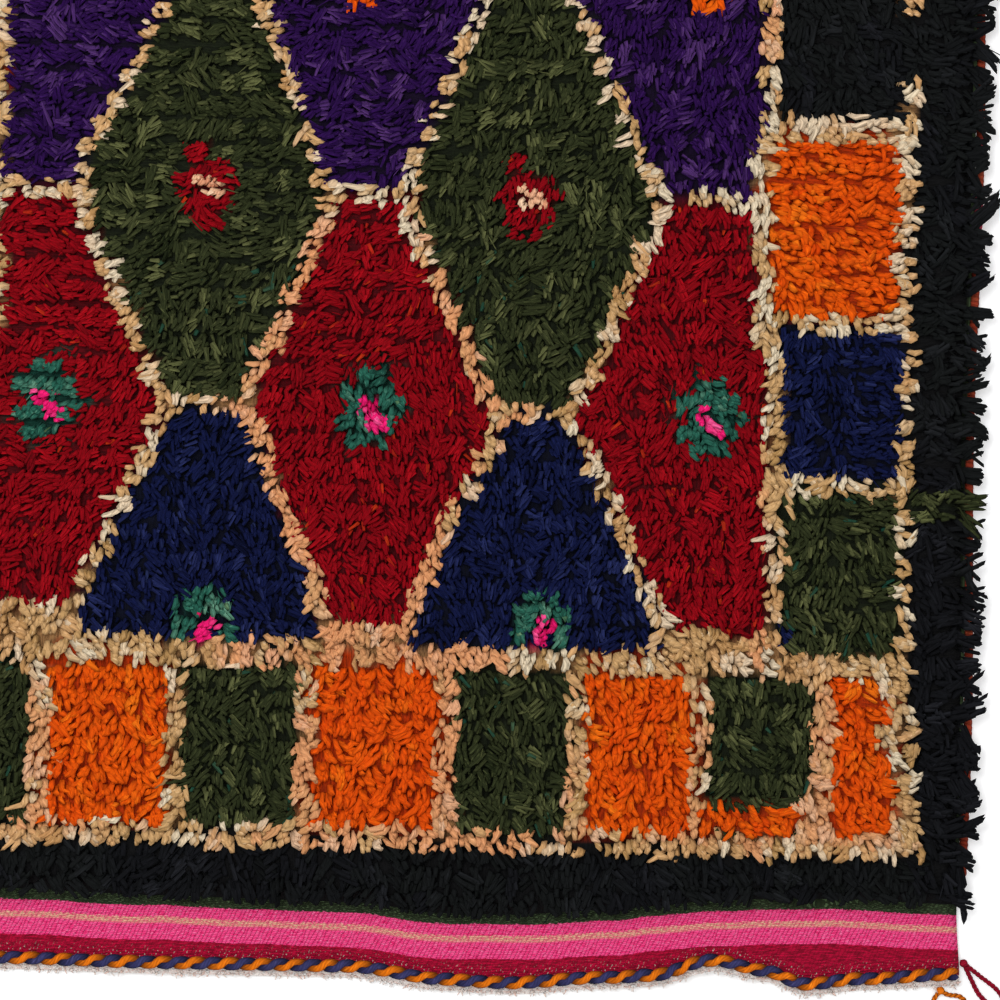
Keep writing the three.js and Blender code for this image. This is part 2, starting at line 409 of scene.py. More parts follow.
class Value:
    """A value in a shader, for writing formulas: each operator adds one Math node."""

    def __init__(self, nodes: "NodeTree", socket: bpy.types.NodeSocket) -> None:
        """Keeps the tree, and the socket that gives the value."""
        self.nodes = nodes
        self.socket = socket

    def _math(self, operation: str, *others: object) -> "Value":
        """This value and others, in that order, in a Math node."""
        return self.nodes.math(operation, self, *others)

    def __rsub__(self, other: object) -> "Value":
        """A number less this value."""
        return self.nodes.math("SUBTRACT", other, self)

    __add__ = partialmethod(_math, "ADD")
    __sub__ = partialmethod(_math, "SUBTRACT")
    __mul__ = partialmethod(_math, "MULTIPLY")
    __truediv__ = partialmethod(_math, "DIVIDE")
    __pow__ = partialmethod(_math, "POWER")
    __abs__ = partialmethod(_math, "ABSOLUTE")
    times_plus = partialmethod(_math, "MULTIPLY_ADD")


class NodeTree:
    """Short way to add and join shader nodes in one tree."""

    def __init__(self, tree: bpy.types.NodeTree) -> None:
        """Keeps the tree that the nodes go into."""
        self.tree = tree

    def put(self, socket: bpy.types.NodeSocket, value: object) -> None:
        """Joins a socket to a value, or sets it to a number or a colour.

        Args:
            socket: an input.
            value: what it gets.
        """
        if isinstance(value, Value):
            self.tree.links.new(value.socket, socket)
        elif socket.type == "RGBA":
            socket.default_value = (*value, 1.0)
        else:
            socket.default_value = value

    def node(self, kind: str, given: dict[int | str, object], **settings: object) -> list[Value]:
        """Adds a node.

        Args:
            kind: the node's type.
            given: what its inputs get, by number or name.
            settings: its plain settings.

        Returns:
            The node's outputs.
        """
        made = self.tree.nodes.new(kind)
        for key, value in settings.items():
            setattr(made, key, value)
        for key, value in given.items():
            self.put(made.inputs[key], value)
        return [Value(self, socket) for socket in made.outputs]

    def math(self, operation: str, *values: object) -> Value:
        """A Math node on one to three values, and its result."""
        return self.node("ShaderNodeMath", dict(enumerate(values)), operation=operation)[0]

    def mix(self, factor: object, a: object, b: object, blend: str = "MIX") -> Value:
        """Colour a, turned into colour b by a factor."""
        given = {0: factor, 6: a, 7: b}
        return self.node("ShaderNodeMix", given, data_type="RGBA", blend_type=blend)[2]

    def darkened(self, color: Value, value: Value) -> Value:
        """A colour times a value."""
        return self.mix(1.0, color, self.vector(value, value, value), "MULTIPLY")

    def ease(self, value: Value, low: float, high: float, a: float = 0.0, b: float = 1.0) -> Value:
        """Maps low..high onto a..b with a smooth step, held at both ends."""
        given = dict(enumerate((value, low, high, a, b)))
        return self.node("ShaderNodeMapRange", given, interpolation_type="SMOOTHSTEP")[0]

    def attribute(self, name: str) -> Value:
        """Reads a number that the piece carries."""
        return self.node("ShaderNodeAttribute", {}, attribute_name=name)[2]

    def carried(self, name: str) -> Value:
        """Reads a vector that the piece carries."""
        return self.node("ShaderNodeAttribute", {}, attribute_name=name)[1]

    def axes(self, vector: Value) -> list[Value]:
        """Splits a vector into x, y and z."""
        return self.node("ShaderNodeSeparateXYZ", {0: vector})

    def vector(self, *axes: object) -> Value:
        """Joins x, y and z into a vector."""
        return self.node("ShaderNodeCombineXYZ", dict(enumerate(axes)))[0]

    def normal(self) -> Value:
        """The normal of the face."""
        return self.node("ShaderNodeNewGeometry", {})[1]

    def noise(self, vector: Value, scale: float, detail: float, w: Value | None = None) -> Value:
        """Fractal noise, about 0.5 in the middle.

        Args:
            vector: where it is read.
            scale: how fine it is.
            detail: how many finer layers it has.
            w: a fourth axis.

        Returns:
            The noise.
        """
        given = {"Vector": vector, "Scale": scale, "Detail": detail}
        if w is None:
            return self.node("ShaderNodeTexNoise", given, noise_dimensions="3D")[0]
        return self.node("ShaderNodeTexNoise", {**given, "W": w}, noise_dimensions="4D")[0]

    def bump(self, height: Value, strength: float, depth: float, normal: Value | None = None
             ) -> Value:
        """The normal of a relief.

        Args:
            height: of the relief, about 0 to 1.
            strength: how far it counts.
            depth: of a height of 1, in metres.
            normal: of the face under it, where it isn't the plain one.

        Returns:
            The leant normal.
        """
        given = {"Height": height, "Strength": strength, "Distance": depth}
        if normal is not None:
            given["Normal"] = normal
        return self.node("ShaderNodeBump", given)[0]


class MaterialTree(NodeTree):
    """The nodes of a new material, round its one Principled shader."""

    def __init__(self, name: str) -> None:
        """Makes the material.

        Args:
            name: the material's name.
        """
        self.material = bpy.data.materials.new(name)
        self.material.use_nodes = True
        super().__init__(self.material.node_tree)

    def shade(self, **look: object) -> bpy.types.Material:
        """Joins or sets the shader's inputs.

        Args:
            look: what each input gets; a name has underscores for spaces.

        Returns:
            The finished material.
        """
        shader = self.tree.nodes["Principled BSDF"]
        for key, value in look.items():
            self.put(shader.inputs[key.replace("_", " ")], value)
        return self.material


class GroupTree(NodeTree):
    """The nodes of a new shader group."""

    def __init__(self, name: str, inputs: dict[str, object], colors: tuple[str, ...],
                 values: tuple[str, ...]) -> None:
        """Makes the group.

        Args:
            name: the group's name.
            inputs: each input's name and its usual value, a number or a colour.
            colors: names of the outputs that are colours.
            values: names of the outputs that are numbers.
        """
        super().__init__(bpy.data.node_groups.new(name, "ShaderNodeTree"))
        face = self.tree.interface
        for key, value in inputs.items():
            kind = "NodeSocketColor" if isinstance(value, tuple) else "NodeSocketFloat"
            socket = face.new_socket(key, in_out="INPUT", socket_type=kind)
            socket.default_value = (*value, 1.0) if isinstance(value, tuple) else value
        for key in colors:
            face.new_socket(key, in_out="OUTPUT", socket_type="NodeSocketColor")
        for key in values:
            face.new_socket(key, in_out="OUTPUT", socket_type="NodeSocketFloat")
        self.got = dict(zip(inputs, self.node("NodeGroupInput", {})))

    def give(self, **outputs: Value) -> bpy.types.NodeTree:
        """Joins the group's outputs, and returns it."""
        self.node("NodeGroupOutput", outputs)
        return self.tree


def yarn_group() -> bpy.types.NodeTree:
    """The look of spun wool, for anything that carries `section`, `tone`, `tint` and `root`.

    Plies: the size of the sine of (angle + twist * distance) is 0 in the groove between two
    plies and 1 on their backs. Fibres: noise stretched along the yarn, slanted by the same
    twist; its brightest streaks lean to the pale colour as painted highlights. Colour runs from
    deep to main to pale by the yarn's own tone, and leans to the second colour by its tint.
    Painted shade darkens it in the grooves between plies and towards the root.

    Returns:
        The node group.
    """
    turn_by_tone, groove_shape, wide, long = 5.0, 0.6, 0.65, 0.10
    grey = (0.3, 0.3, 0.3)
    nodes = GroupTree("SpunWool", {
        "Deep": (0.1, 0.1, 0.1), "Main": grey, "Pale": (0.5, 0.5, 0.5), "Second": grey,
        "Twist": 0.6, "Plies": 1.0, "Groove": 0.5, "Root": 0.5, "Fibre": 0.3,
    }, ("Color",), ("Roughness", "Height"))
    got = nodes.got
    x, y, run = nodes.axes(nodes.carried("section"))
    tone, tint, root = (nodes.attribute(name) for name in ("tone", "tint", "root"))
    angle = run.times_plus(got["Twist"], nodes.math("ARCTAN2", y, x))
    turned = tone.times_plus(turn_by_tone, angle)
    back = abs(nodes.math("SINE", turned * got["Plies"])) ** groove_shape
    round_it = (nodes.math(way, turned) * wide for way in ("COSINE", "SINE"))
    lengthwise = nodes.vector(*round_it, run * long)
    fibre = nodes.noise(lengthwise, 2.2, 3.0, tone * 97.0)
    blotch = nodes.noise(lengthwise, 0.7, 1.0, tone * 53.0)

    lower = nodes.mix(nodes.ease(tone, 0.0, 0.45), got["Deep"], got["Main"])
    color = nodes.mix(nodes.ease(tone, 0.6, 1.0), lower, got["Pale"])
    # painted highlight: the brightest fibre streaks lean to the pale colour
    color = nodes.mix(nodes.ease(fibre, 0.58, 0.74, 0.0, 0.55), color, got["Pale"])
    color = nodes.mix(tint, color, got["Second"])
    # painted shade: darker towards the root, where the strands shade each other, and in the grooves
    # between plies
    root_shade = 1.0 - root * got["Root"]
    groove_shade = 1.0 - (1.0 - back) * got["Groove"]
    streak = (fibre - 0.5).times_plus(got["Fibre"] * 2.4, 1.0)
    cloud = (blotch - 0.5).times_plus(0.35, 1.0)
    return nodes.give(
        Color=nodes.darkened(color, root_shade * groove_shade * (streak * cloud)),
        Roughness=fibre.times_plus(0.14, 0.82),
        Height=fibre.times_plus(0.45, back),
    )


@dataclass(frozen=True)
class WoolFinish:
    """Dyed and spun wool: its colours and the make of the yarn."""

    name: str
    deep: Color
    main: Color
    pale: Color
    second: Color
    twist: float = 0.12
    plies: float = 2.0
    # groove, root and edge set painted shade: in the grooves between plies, towards the root and on
    # steep faces
    groove: float = 0.16
    root: float = 0.38
    fibre: float = 0.75
    relief: float = 0.5
    sheen: float = 0.06
    softness: float = 0.42
    edge: float = 0.4

    RELIEF_DEPTH = 0.0009
    SPUN = ("Deep", "Main", "Pale", "Second", "Twist", "Plies", "Groove", "Root", "Fibre")

    def material(self, group: bpy.types.NodeTree) -> bpy.types.Material:
        """Builds the material: spun wool, darker on steep faces by `edge` as painted shade, its
        normals leant towards straight up by `softness`, as fuzz scatters light.

        Args:
            group: the spun-wool node group.

        Returns:
            The material.
        """
        nodes = MaterialTree(self.name)
        given = {key: getattr(self, key.lower()) for key in self.SPUN}
        color, roughness, height = nodes.node("ShaderNodeGroup", given, node_tree=group)
        given = {0: self.softness, 4: nodes.normal(), 5: (0.0, 0.0, 1.0)}
        leant = nodes.node("ShaderNodeMix", given, data_type="VECTOR")[1]
        fuzzy = nodes.node("ShaderNodeVectorMath", {0: leant}, operation="NORMALIZE")[0]
        # painted shade: faces that turn away from straight up are darker
        facing = nodes.axes(nodes.normal())[2]
        steep_shade = nodes.ease(facing, 0.25, 0.95, 1.0 - self.edge, 1.0)
        return nodes.shade(
            Base_Color=nodes.darkened(color, steep_shade),
            Roughness=roughness,
            Normal=nodes.bump(height, self.relief, self.RELIEF_DEPTH, fuzzy),
            Specular_IOR_Level=0.1,
            Sheen_Weight=self.sheen,
            Sheen_Roughness=0.5,
            Sheen_Tint=self.pale,
        )


class Yarn(Enum):
    """The yarns of the pile, in the order that the chart numbers them."""

    RED = 0
    GREEN = 1
    NAVY = 2
    PURPLE = 3
    ORANGE = 4
    CREAM = 5
    BLACK = 6
    TEAL = 7
    PINK = 8
    ROSE = 9


@dataclass(frozen=True)
class Cut:
    """Where a strand has its rings, as shares of its length, and how thick it is there."""

    stations: tuple[float, ...]
    swells: tuple[float, ...]


FULL = Cut((0.28, 0.64, 0.91), (0.96, 1.12, 0.78))
THIN = Cut((0.46, 0.89), (1.12, 0.76))
SHORT = Cut((0.42, 0.92), (1.05, 0.95))


@dataclass(frozen=True)
class Tuft:
    """How one yarn of the pile is tied: a strand's radius, the area it takes up, how far it
    reaches and rises, and the colour of the knots under it, darkened as painted shade."""

    slot: str
    radius: float
    area: float
    reach: tuple[float, float]
    rise: tuple[float, float]
    cut: Cut
    bed: Color
    finish: WoolFinish


PLUMP: dict[str, float] = {
    "plies": 1.5, "twist": 0.2, "groove": 0.14, "fibre": 0.55, "root": 0.14, "edge": 0.24,
}
LEVEL = (5.2, 9.2)
TUFTS: dict[Yarn, Tuft] = {
    Yarn.RED: Tuft("pile_red", 1.62, 11.6, (4.5, 14), LEVEL, THIN, srgb(84, 0, 9), WoolFinish(
        "red_wool", srgb(114, 0, 12), srgb(142, 0, 15), srgb(170, 6, 22), srgb(206, 60, 12),
        fibre=0.6, edge=0.3)),
    Yarn.GREEN: Tuft("pile_green", 1.68, 13.4, (5, 15), LEVEL, THIN, srgb(22, 28, 12), WoolFinish(
        "green_wool", srgb(29, 36, 15), srgb(47, 53, 28), srgb(98, 102, 62), srgb(20, 78, 64))),
    Yarn.NAVY: Tuft("pile_navy", 1.68, 13.2, (4.5, 14), LEVEL, THIN, srgb(3, 6, 26), WoolFinish(
        "navy_wool", srgb(2, 7, 38), srgb(12, 20, 62), srgb(36, 44, 92), srgb(40, 50, 90))),
    Yarn.PURPLE: Tuft("pile_purple", 1.6, 12.0, (4.5, 15), LEVEL, THIN, srgb(17, 1, 32), WoolFinish(
        "purple_wool", srgb(26, 1, 50), srgb(43, 9, 74), srgb(82, 48, 110), srgb(66, 40, 102))),
    Yarn.ORANGE: Tuft("pile_orange", 2.15, 18.8, (5, 14.5), LEVEL, FULL, srgb(186, 54, 0), WoolFinish(
        "orange_wool", srgb(212, 64, 0), srgb(228, 86, 4), srgb(240, 114, 16), srgb(222, 74, 4),
        **PLUMP)),
    Yarn.CREAM: Tuft("pile_cream", 2.4, 19.6, (4.5, 12.5), (6.2, 9.8), FULL, srgb(166, 122, 78),
                     WoolFinish("cream_wool", srgb(176, 136, 84), srgb(204, 162, 110),
                                srgb(226, 208, 178), srgb(228, 152, 104), **PLUMP)),
    Yarn.BLACK: Tuft("pile_black", 1.9, 17.5, (6, 17), (4.8, 8.8), SHORT, srgb(10, 10, 12), WoolFinish(
        "black_wool", srgb(8, 9, 12), srgb(15, 16, 20), srgb(30, 31, 36), srgb(26, 31, 24))),
    Yarn.TEAL: Tuft("pile_accent", 1.9, 10.6, (5, 11), (6.4, 9.8), FULL, srgb(16, 58, 48), WoolFinish(
        "teal_wool", srgb(20, 62, 52), srgb(38, 96, 80), srgb(96, 144, 120), srgb(104, 134, 86))),
    Yarn.PINK: Tuft("pile_accent", 1.9, 10.6, (4, 9), (6.8, 10.2), FULL, srgb(180, 8, 78), WoolFinish(
        "flower_pink_wool", srgb(202, 8, 84), srgb(238, 24, 112), srgb(255, 96, 160),
        srgb(240, 80, 130), **PLUMP)),
    Yarn.ROSE: Tuft("pile_accent", 1.9, 10.6, (4, 9), (7.0, 10.4), FULL, srgb(170, 96, 76), WoolFinish(
        "rose_wool", srgb(212, 138, 104), srgb(234, 180, 142), srgb(248, 212, 178),
        srgb(230, 110, 100), **PLUMP)),
}


# ---------- the pattern ----------


@dataclass(frozen=True)
class Motif:
    """A small flower, charted knot by knot, one row of letters for each row of knots."""

    rows: tuple[str, ...]
    cell_x: float
    cell_y: float

    LETTERS = {".": -1, "R": Yarn.RED.value, "T": Yarn.TEAL.value, "P": Yarn.PINK.value,
               "O": Yarn.ORANGE.value, "C": Yarn.ROSE.value}

    def stamp(self, codes: Array, x: Array, y: Array, middle: tuple[float, float], flip: int
              ) -> None:
        """Ties the flower into the pattern, over what is there.

        Args:
            codes: yarn numbers, changed in place.
            x: where each number belongs.
            y: the same.
            middle: the flower's own x and y.
            flip: 1, or -1 for a flower that stands on its head.
        """
        chart = np.array([[self.LETTERS[letter] for letter in row] for row in self.rows])
        rows, columns = chart.shape
        i = np.floor((x - middle[0]) / self.cell_x + columns / 2).astype(int)
        j = np.floor(flip * (middle[1] - y) / self.cell_y + rows / 2).astype(int)
        inside = (i >= 0) & (i < columns) & (j >= 0) & (j < rows)
        found = chart[np.clip(j, 0, rows - 1), np.clip(i, 0, columns - 1)]
        hit = inside & (found >= 0)
        codes[hit] = found[hit]


RED_FLOWER = Motif((".RR....", ".RRRRR.", "RRCCCRR", ".RRRRR.", "..RRR.."), 7.0, 13.0)
TEAL_FLOWER = Motif(("..TTT..", "TTTTTT.", ".TPPTTT", "TTTPPT.", ".TTTT.."), 7.2, 11.5)
ORANGE_FLOWER = Motif(("..OOO..", ".OOOOO.", "OOOOOOO", ".OOOOO.", "..OOO.."), 8.0, 11.5)
HALF_FLOWER = Motif((".TTT.", "TTTTT", "TTPPT", "T.P.T"), 8.8, 9.6)


def tie(codes: Array, x: Array, y: Array, box: tuple[float, ...], yarn: Yarn) -> None:
    """Ties one yarn all over a box.

    Args:
        codes: yarn numbers, changed in place.
        x: where each number belongs.
        y: the same.
        box: left x, right x, lower y and upper y.
        yarn: what is tied there.
    """
    left, right, low, high = box
    codes[(x > left) & (x < right) & (y > low) & (y < high)] = yarn.value


class Pattern:
    """The knotted pattern: borders of small squares round a lattice of long diamonds."""

    ROW = 17.64             # rows of knots that the edges step by
    FIELD_Y = 341.0         # half the field's length
    SQUARES_Y = (362.0, 477.0)
    OUTER_Y = 495.0         # where the black border begins
    BAR = 6.4               # half of the pale bars across the lattice
    BAR_Y = (-3.5, 164.5)   # their middles: the long one, and |y| of the short ones
    NAVY_Y = 165.0          # |y| past which the narrow columns are navy
    LINE_HALF = (6.6, 5.3)  # half of the lattice's pale lines, in the near and the far half
    BORDER_HALF = 7.4       # half of the line between the field and the side borders
    SPREAD = 1.3            # how far the squares grow over the pale lines

    # y, then the middle of each of the four lines between the columns of diamonds
    LINES = np.array([
        (-341, -226, -30, 26, 226), (-300, -217, -41, 36, 210), (-250, -194, -65, 57, 188),
        (-180, -162, -90, 94, 152), (-165, -158, -97, 92, 146), (-150, -166, -94, 80, 156),
        (-25, -221, -41, 24, 206), (0, -223, -42, 21, 211), (30, -219, -51, 28, 198),
        (100, -183, -80, 57, 162), (165, -158, -104, 80, 134), (250, -192, -66, 56, 182),
        (341, -226, -28, 24, 224),
    ], float)

    # y, then |x| of the middle of the line between the field and the side borders, and of the
    # side borders' outer edge
    BORDER = np.array([
        (-493, 303, 418), (-380, 303, 408), (-125, 298, 404), (-105, 290, 404), (493, 290, 407),
    ], float)

    # squares of the side borders: lower y, upper y, outer |x|, right yarn, left yarn
    SIDE_SQUARES = (
        (-341, -224, 394, Yarn.GREEN, Yarn.ORANGE), (-208, -101, 395, Yarn.NAVY, Yarn.GREEN),
        (-87, 42, 389, Yarn.ORANGE, Yarn.BLACK), (62, 190, 391, Yarn.BLACK, Yarn.ORANGE),
        (206, 341, 394, Yarn.GREEN, Yarn.NAVY),
    )

    # squares of the end borders: left x, right x, near yarn, far yarn
    END_SQUARES = (
        (-390, -349, Yarn.ORANGE, Yarn.GREEN), (-330, -257, Yarn.GREEN, Yarn.ORANGE),
        (-238, -155, Yarn.ORANGE, Yarn.NAVY), (-138, -57, Yarn.GREEN, Yarn.ORANGE),
        (-39, 48, Yarn.ORANGE, Yarn.GREEN), (67, 147, Yarn.GREEN, Yarn.ORANGE),
        (165, 239, Yarn.ORANGE, Yarn.NAVY), (258, 331, Yarn.GREEN, Yarn.ORANGE),
        (350, 391, Yarn.ORANGE, Yarn.GREEN),
    )

    # how far the foot of each red or navy triangle stays off the field's lower line
    FEET = np.array([(-289, 25), (-230, 25), (-226, 2), (-30, 2), (-25, 14), (25, 14), (30, -1),
                     (222, -1), (228, 12), (300, 12)], float)

    # the flowers: which, 1 or -1 for one that stands on its head, and the middles
    FLOWERS = (
        (RED_FLOWER, 1, ((-131, 1), (111, -5))),
        (TEAL_FLOWER, 1, ((-248, -162), (-2, -165), (253, -167))),
        (ORANGE_FLOWER, 1, ((-259, 168), (-15, 168), (240, 168))),
        (HALF_FLOWER, 1, ((-126, -323), (127, -321))),
        (HALF_FLOWER, -1, ((-126, 323), (127, 321))),
    )

    # the weaver's own changes: knots in another yarn, as left x, right x, lower y, upper y and
    # yarn, and the box of the border line that breaks up
    ODD_KNOTS = (
        (306, 316, -338, -322, Yarn.NAVY), (249, 322, -478, -458, Yarn.ORANGE),
        (322, 336, -478, -452, Yarn.CREAM), (381, 400, -413, -395, Yarn.CREAM),
        (383, 400, -376, -360, Yarn.CREAM), (405, math.inf, -240, -216, Yarn.GREEN),
    )
    BROKEN_LINE = (388, 410, 56, 196)

    def at(self, x: Array, y: Array) -> Array:
        """Yarn at each place. Edges step and wander a little from one row of knots to the next.

        Args:
            x: places across the rug.
            y: places along it.

        Returns:
            The number of the yarn at each place.
        """
        row = np.floor(y / self.ROW) * 40.0
        px = x + 1.9 * wander(3, row, 34.0) + 1.6 * wander(5, row + x, 60.0)
        py = y + 1.6 * wander(7, x, 17.0)
        codes = np.full(x.shape, Yarn.BLACK.value)
        outer = np.interp(py, self.BORDER[:, 0], self.BORDER[:, 2])
        codes[(np.abs(px) < outer) & (np.abs(py) < self.OUTER_Y)] = Yarn.CREAM.value
        self._squares(codes, px, py)
        self._field(codes, px, py, y)
        for motif, flip, middles in self.FLOWERS:
            for middle in middles:
                motif.stamp(codes, x, y, middle, flip)
        for *box, yarn in self.ODD_KNOTS:
            tie(codes, x, y, box, yarn)
        broken = np.where(wander(11, y, 16.0) < 0.0, y, np.nan)
        tie(codes, x, broken, self.BROKEN_LINE, Yarn.BLACK)
        return codes

    def _squares(self, codes: Array, x: Array, y: Array) -> None:
        """Lays the squares of the four borders.

        Args:
            codes: yarn numbers, changed in place.
            x: where each number belongs.
            y: the same.
        """
        more = self.SPREAD
        inner = np.interp(y, self.BORDER[:, 0], self.BORDER[:, 1]) + self.BORDER_HALF
        for low, high, outer, right, left in self.SIDE_SQUARES:
            box = (inner, outer + more, low - more, high + more)
            tie(codes, x, y, box, right)
            tie(codes, -x, y, box, left)
        rows = (self.SQUARES_Y[0] - more, self.SQUARES_Y[1] + more)
        for left, right, near, far in self.END_SQUARES:
            tie(codes, x, -y, (left - more, right + more, *rows), near)
            tie(codes, x, y, (left - more, right + more, *rows), far)

    def _field(self, codes: Array, x: Array, y: Array, level: Array) -> None:
        """Lays the lattice of diamonds. Its lines step at each row of knots.

        Args:
            codes: yarn numbers, changed in place.
            x: where each number belongs, moved by the lines' unevenness.
            y: the same.
            level: y before it was moved.
        """
        stepped = (np.floor(level / self.ROW) + 0.5) * self.ROW * 0.7 + level * 0.3
        lines = [np.interp(stepped, self.LINES[:, 0], self.LINES[:, k]) for k in range(1, 5)]
        limit = np.interp(y, self.BORDER[:, 0], self.BORDER[:, 1]) - self.BORDER_HALF
        inside = (np.abs(x) < limit) & (np.abs(y) < self.FIELD_Y + 1)
        wide = sum((x > line).astype(int) for line in lines) % 2 == 0
        foot = np.interp(x, self.FEET[:, 0], self.FEET[:, 1])
        broad = np.where(y < 0, Yarn.RED.value, Yarn.PURPLE.value)
        narrow = np.where(np.abs(y) > self.NAVY_Y, Yarn.NAVY.value, Yarn.GREEN.value)
        half = np.where(y < 0, *self.LINE_HALF)
        cream = np.minimum.reduce([np.abs(x - line) for line in lines]) < half
        cream |= wide & (np.abs(y - self.BAR_Y[0]) < self.BAR)
        cream |= ~wide & (np.abs(np.abs(y) - self.BAR_Y[1]) < self.BAR)
        cream |= np.abs(y) > self.FIELD_Y - foot
        fill = np.where(cream, Yarn.CREAM.value, np.where(wide, broad, narrow))
        codes[inside] = fill[inside]


class Lie:
    """The way the pile lies: a direction at every place, eased between a few known ones."""

    REACH = 30.0    # how far from a known place its direction still rules

    # x, y, and the direction of the lie there in degrees, 0 to the right and 90 up the rug
    KNOWN = np.array([
        (-380, -430, -95), (-200, -430, -92), (0, -430, -90), (200, -430, -88), (365, -430, -70),
        (-380, -515, -100), (-200, -515, -92), (0, -515, -90), (200, -515, -88), (350, -515, -84),
        (430, -520, -50), (430, -430, -25), (430, -330, -18), (430, -230, -12), (430, -130, -15),
        (430, -30, -12), (430, 70, -14), (430, 170, -18), (430, 300, -16), (430, 430, -18),
        (-430, -430, 200), (-430, -300, 194), (-430, -100, 190), (-430, 100, 194), (-430, 300, 196),
        (-127, -280, -92), (127, -280, -88), (0, -290, -90), (-257, -290, -94), (250, -290, -84),
        (-30, -180, -105), (30, -180, -75), (-257, -165, -165), (250, -165, -78),
        (0, -70, -140), (-257, -70, 178), (255, -70, -95),
        (-127, -100, -128), (122, -100, -95), (-127, 0, -168), (122, 0, -122),
        (-127, 100, -176), (122, 100, -128), (-257, 90, 178), (0, 90, -168), (250, 90, -108),
        (-257, 250, -150), (0, 250, -130), (250, 250, -95), (-127, 300, -100), (127, 300, -90),
        (-200, 420, -92), (0, 420, -90), (200, 420, -88), (350, 420, -80), (-350, 420, -100),
        (-300, 522, 92), (0, 522, 90), (300, 522, 88), (430, 522, 45), (-430, 522, 135),
        (330, -20, -35), (375, -20, -10), (320, -155, -150), (375, -155, -20), (325, -285, -98),
        (380, -285, -28), (345, 125, -60), (345, 280, -75), (401, -150, -5), (401, 0, -8),
        (-345, -285, -100), (-345, -155, -140), (-345, -20, 190), (-345, 125, -120),
    ], float)

    def at(self, x: Array, y: Array) -> Array:
        """Direction of the lie: the unit vectors of the known places, each weighed by 1 over the
        square of (1 + the squared distance), with the distance measured in reaches.

        Args:
            x: places across the rug.
            y: places along it.

        Returns:
            The direction at each place, in radians.
        """
        cos_sum, sin_sum = np.zeros(x.shape), np.zeros(x.shape)
        for kx, ky, degrees in self.KNOWN:
            weight = 1.0 / (((x - kx) ** 2 + (y - ky) ** 2) / self.REACH**2 + 1.0) ** 2
            cos_sum += weight * math.cos(math.radians(degrees))
            sin_sum += weight * math.sin(math.radians(degrees))
        return np.arctan2(sin_sum, cos_sum)


# ---------- the pile ----------


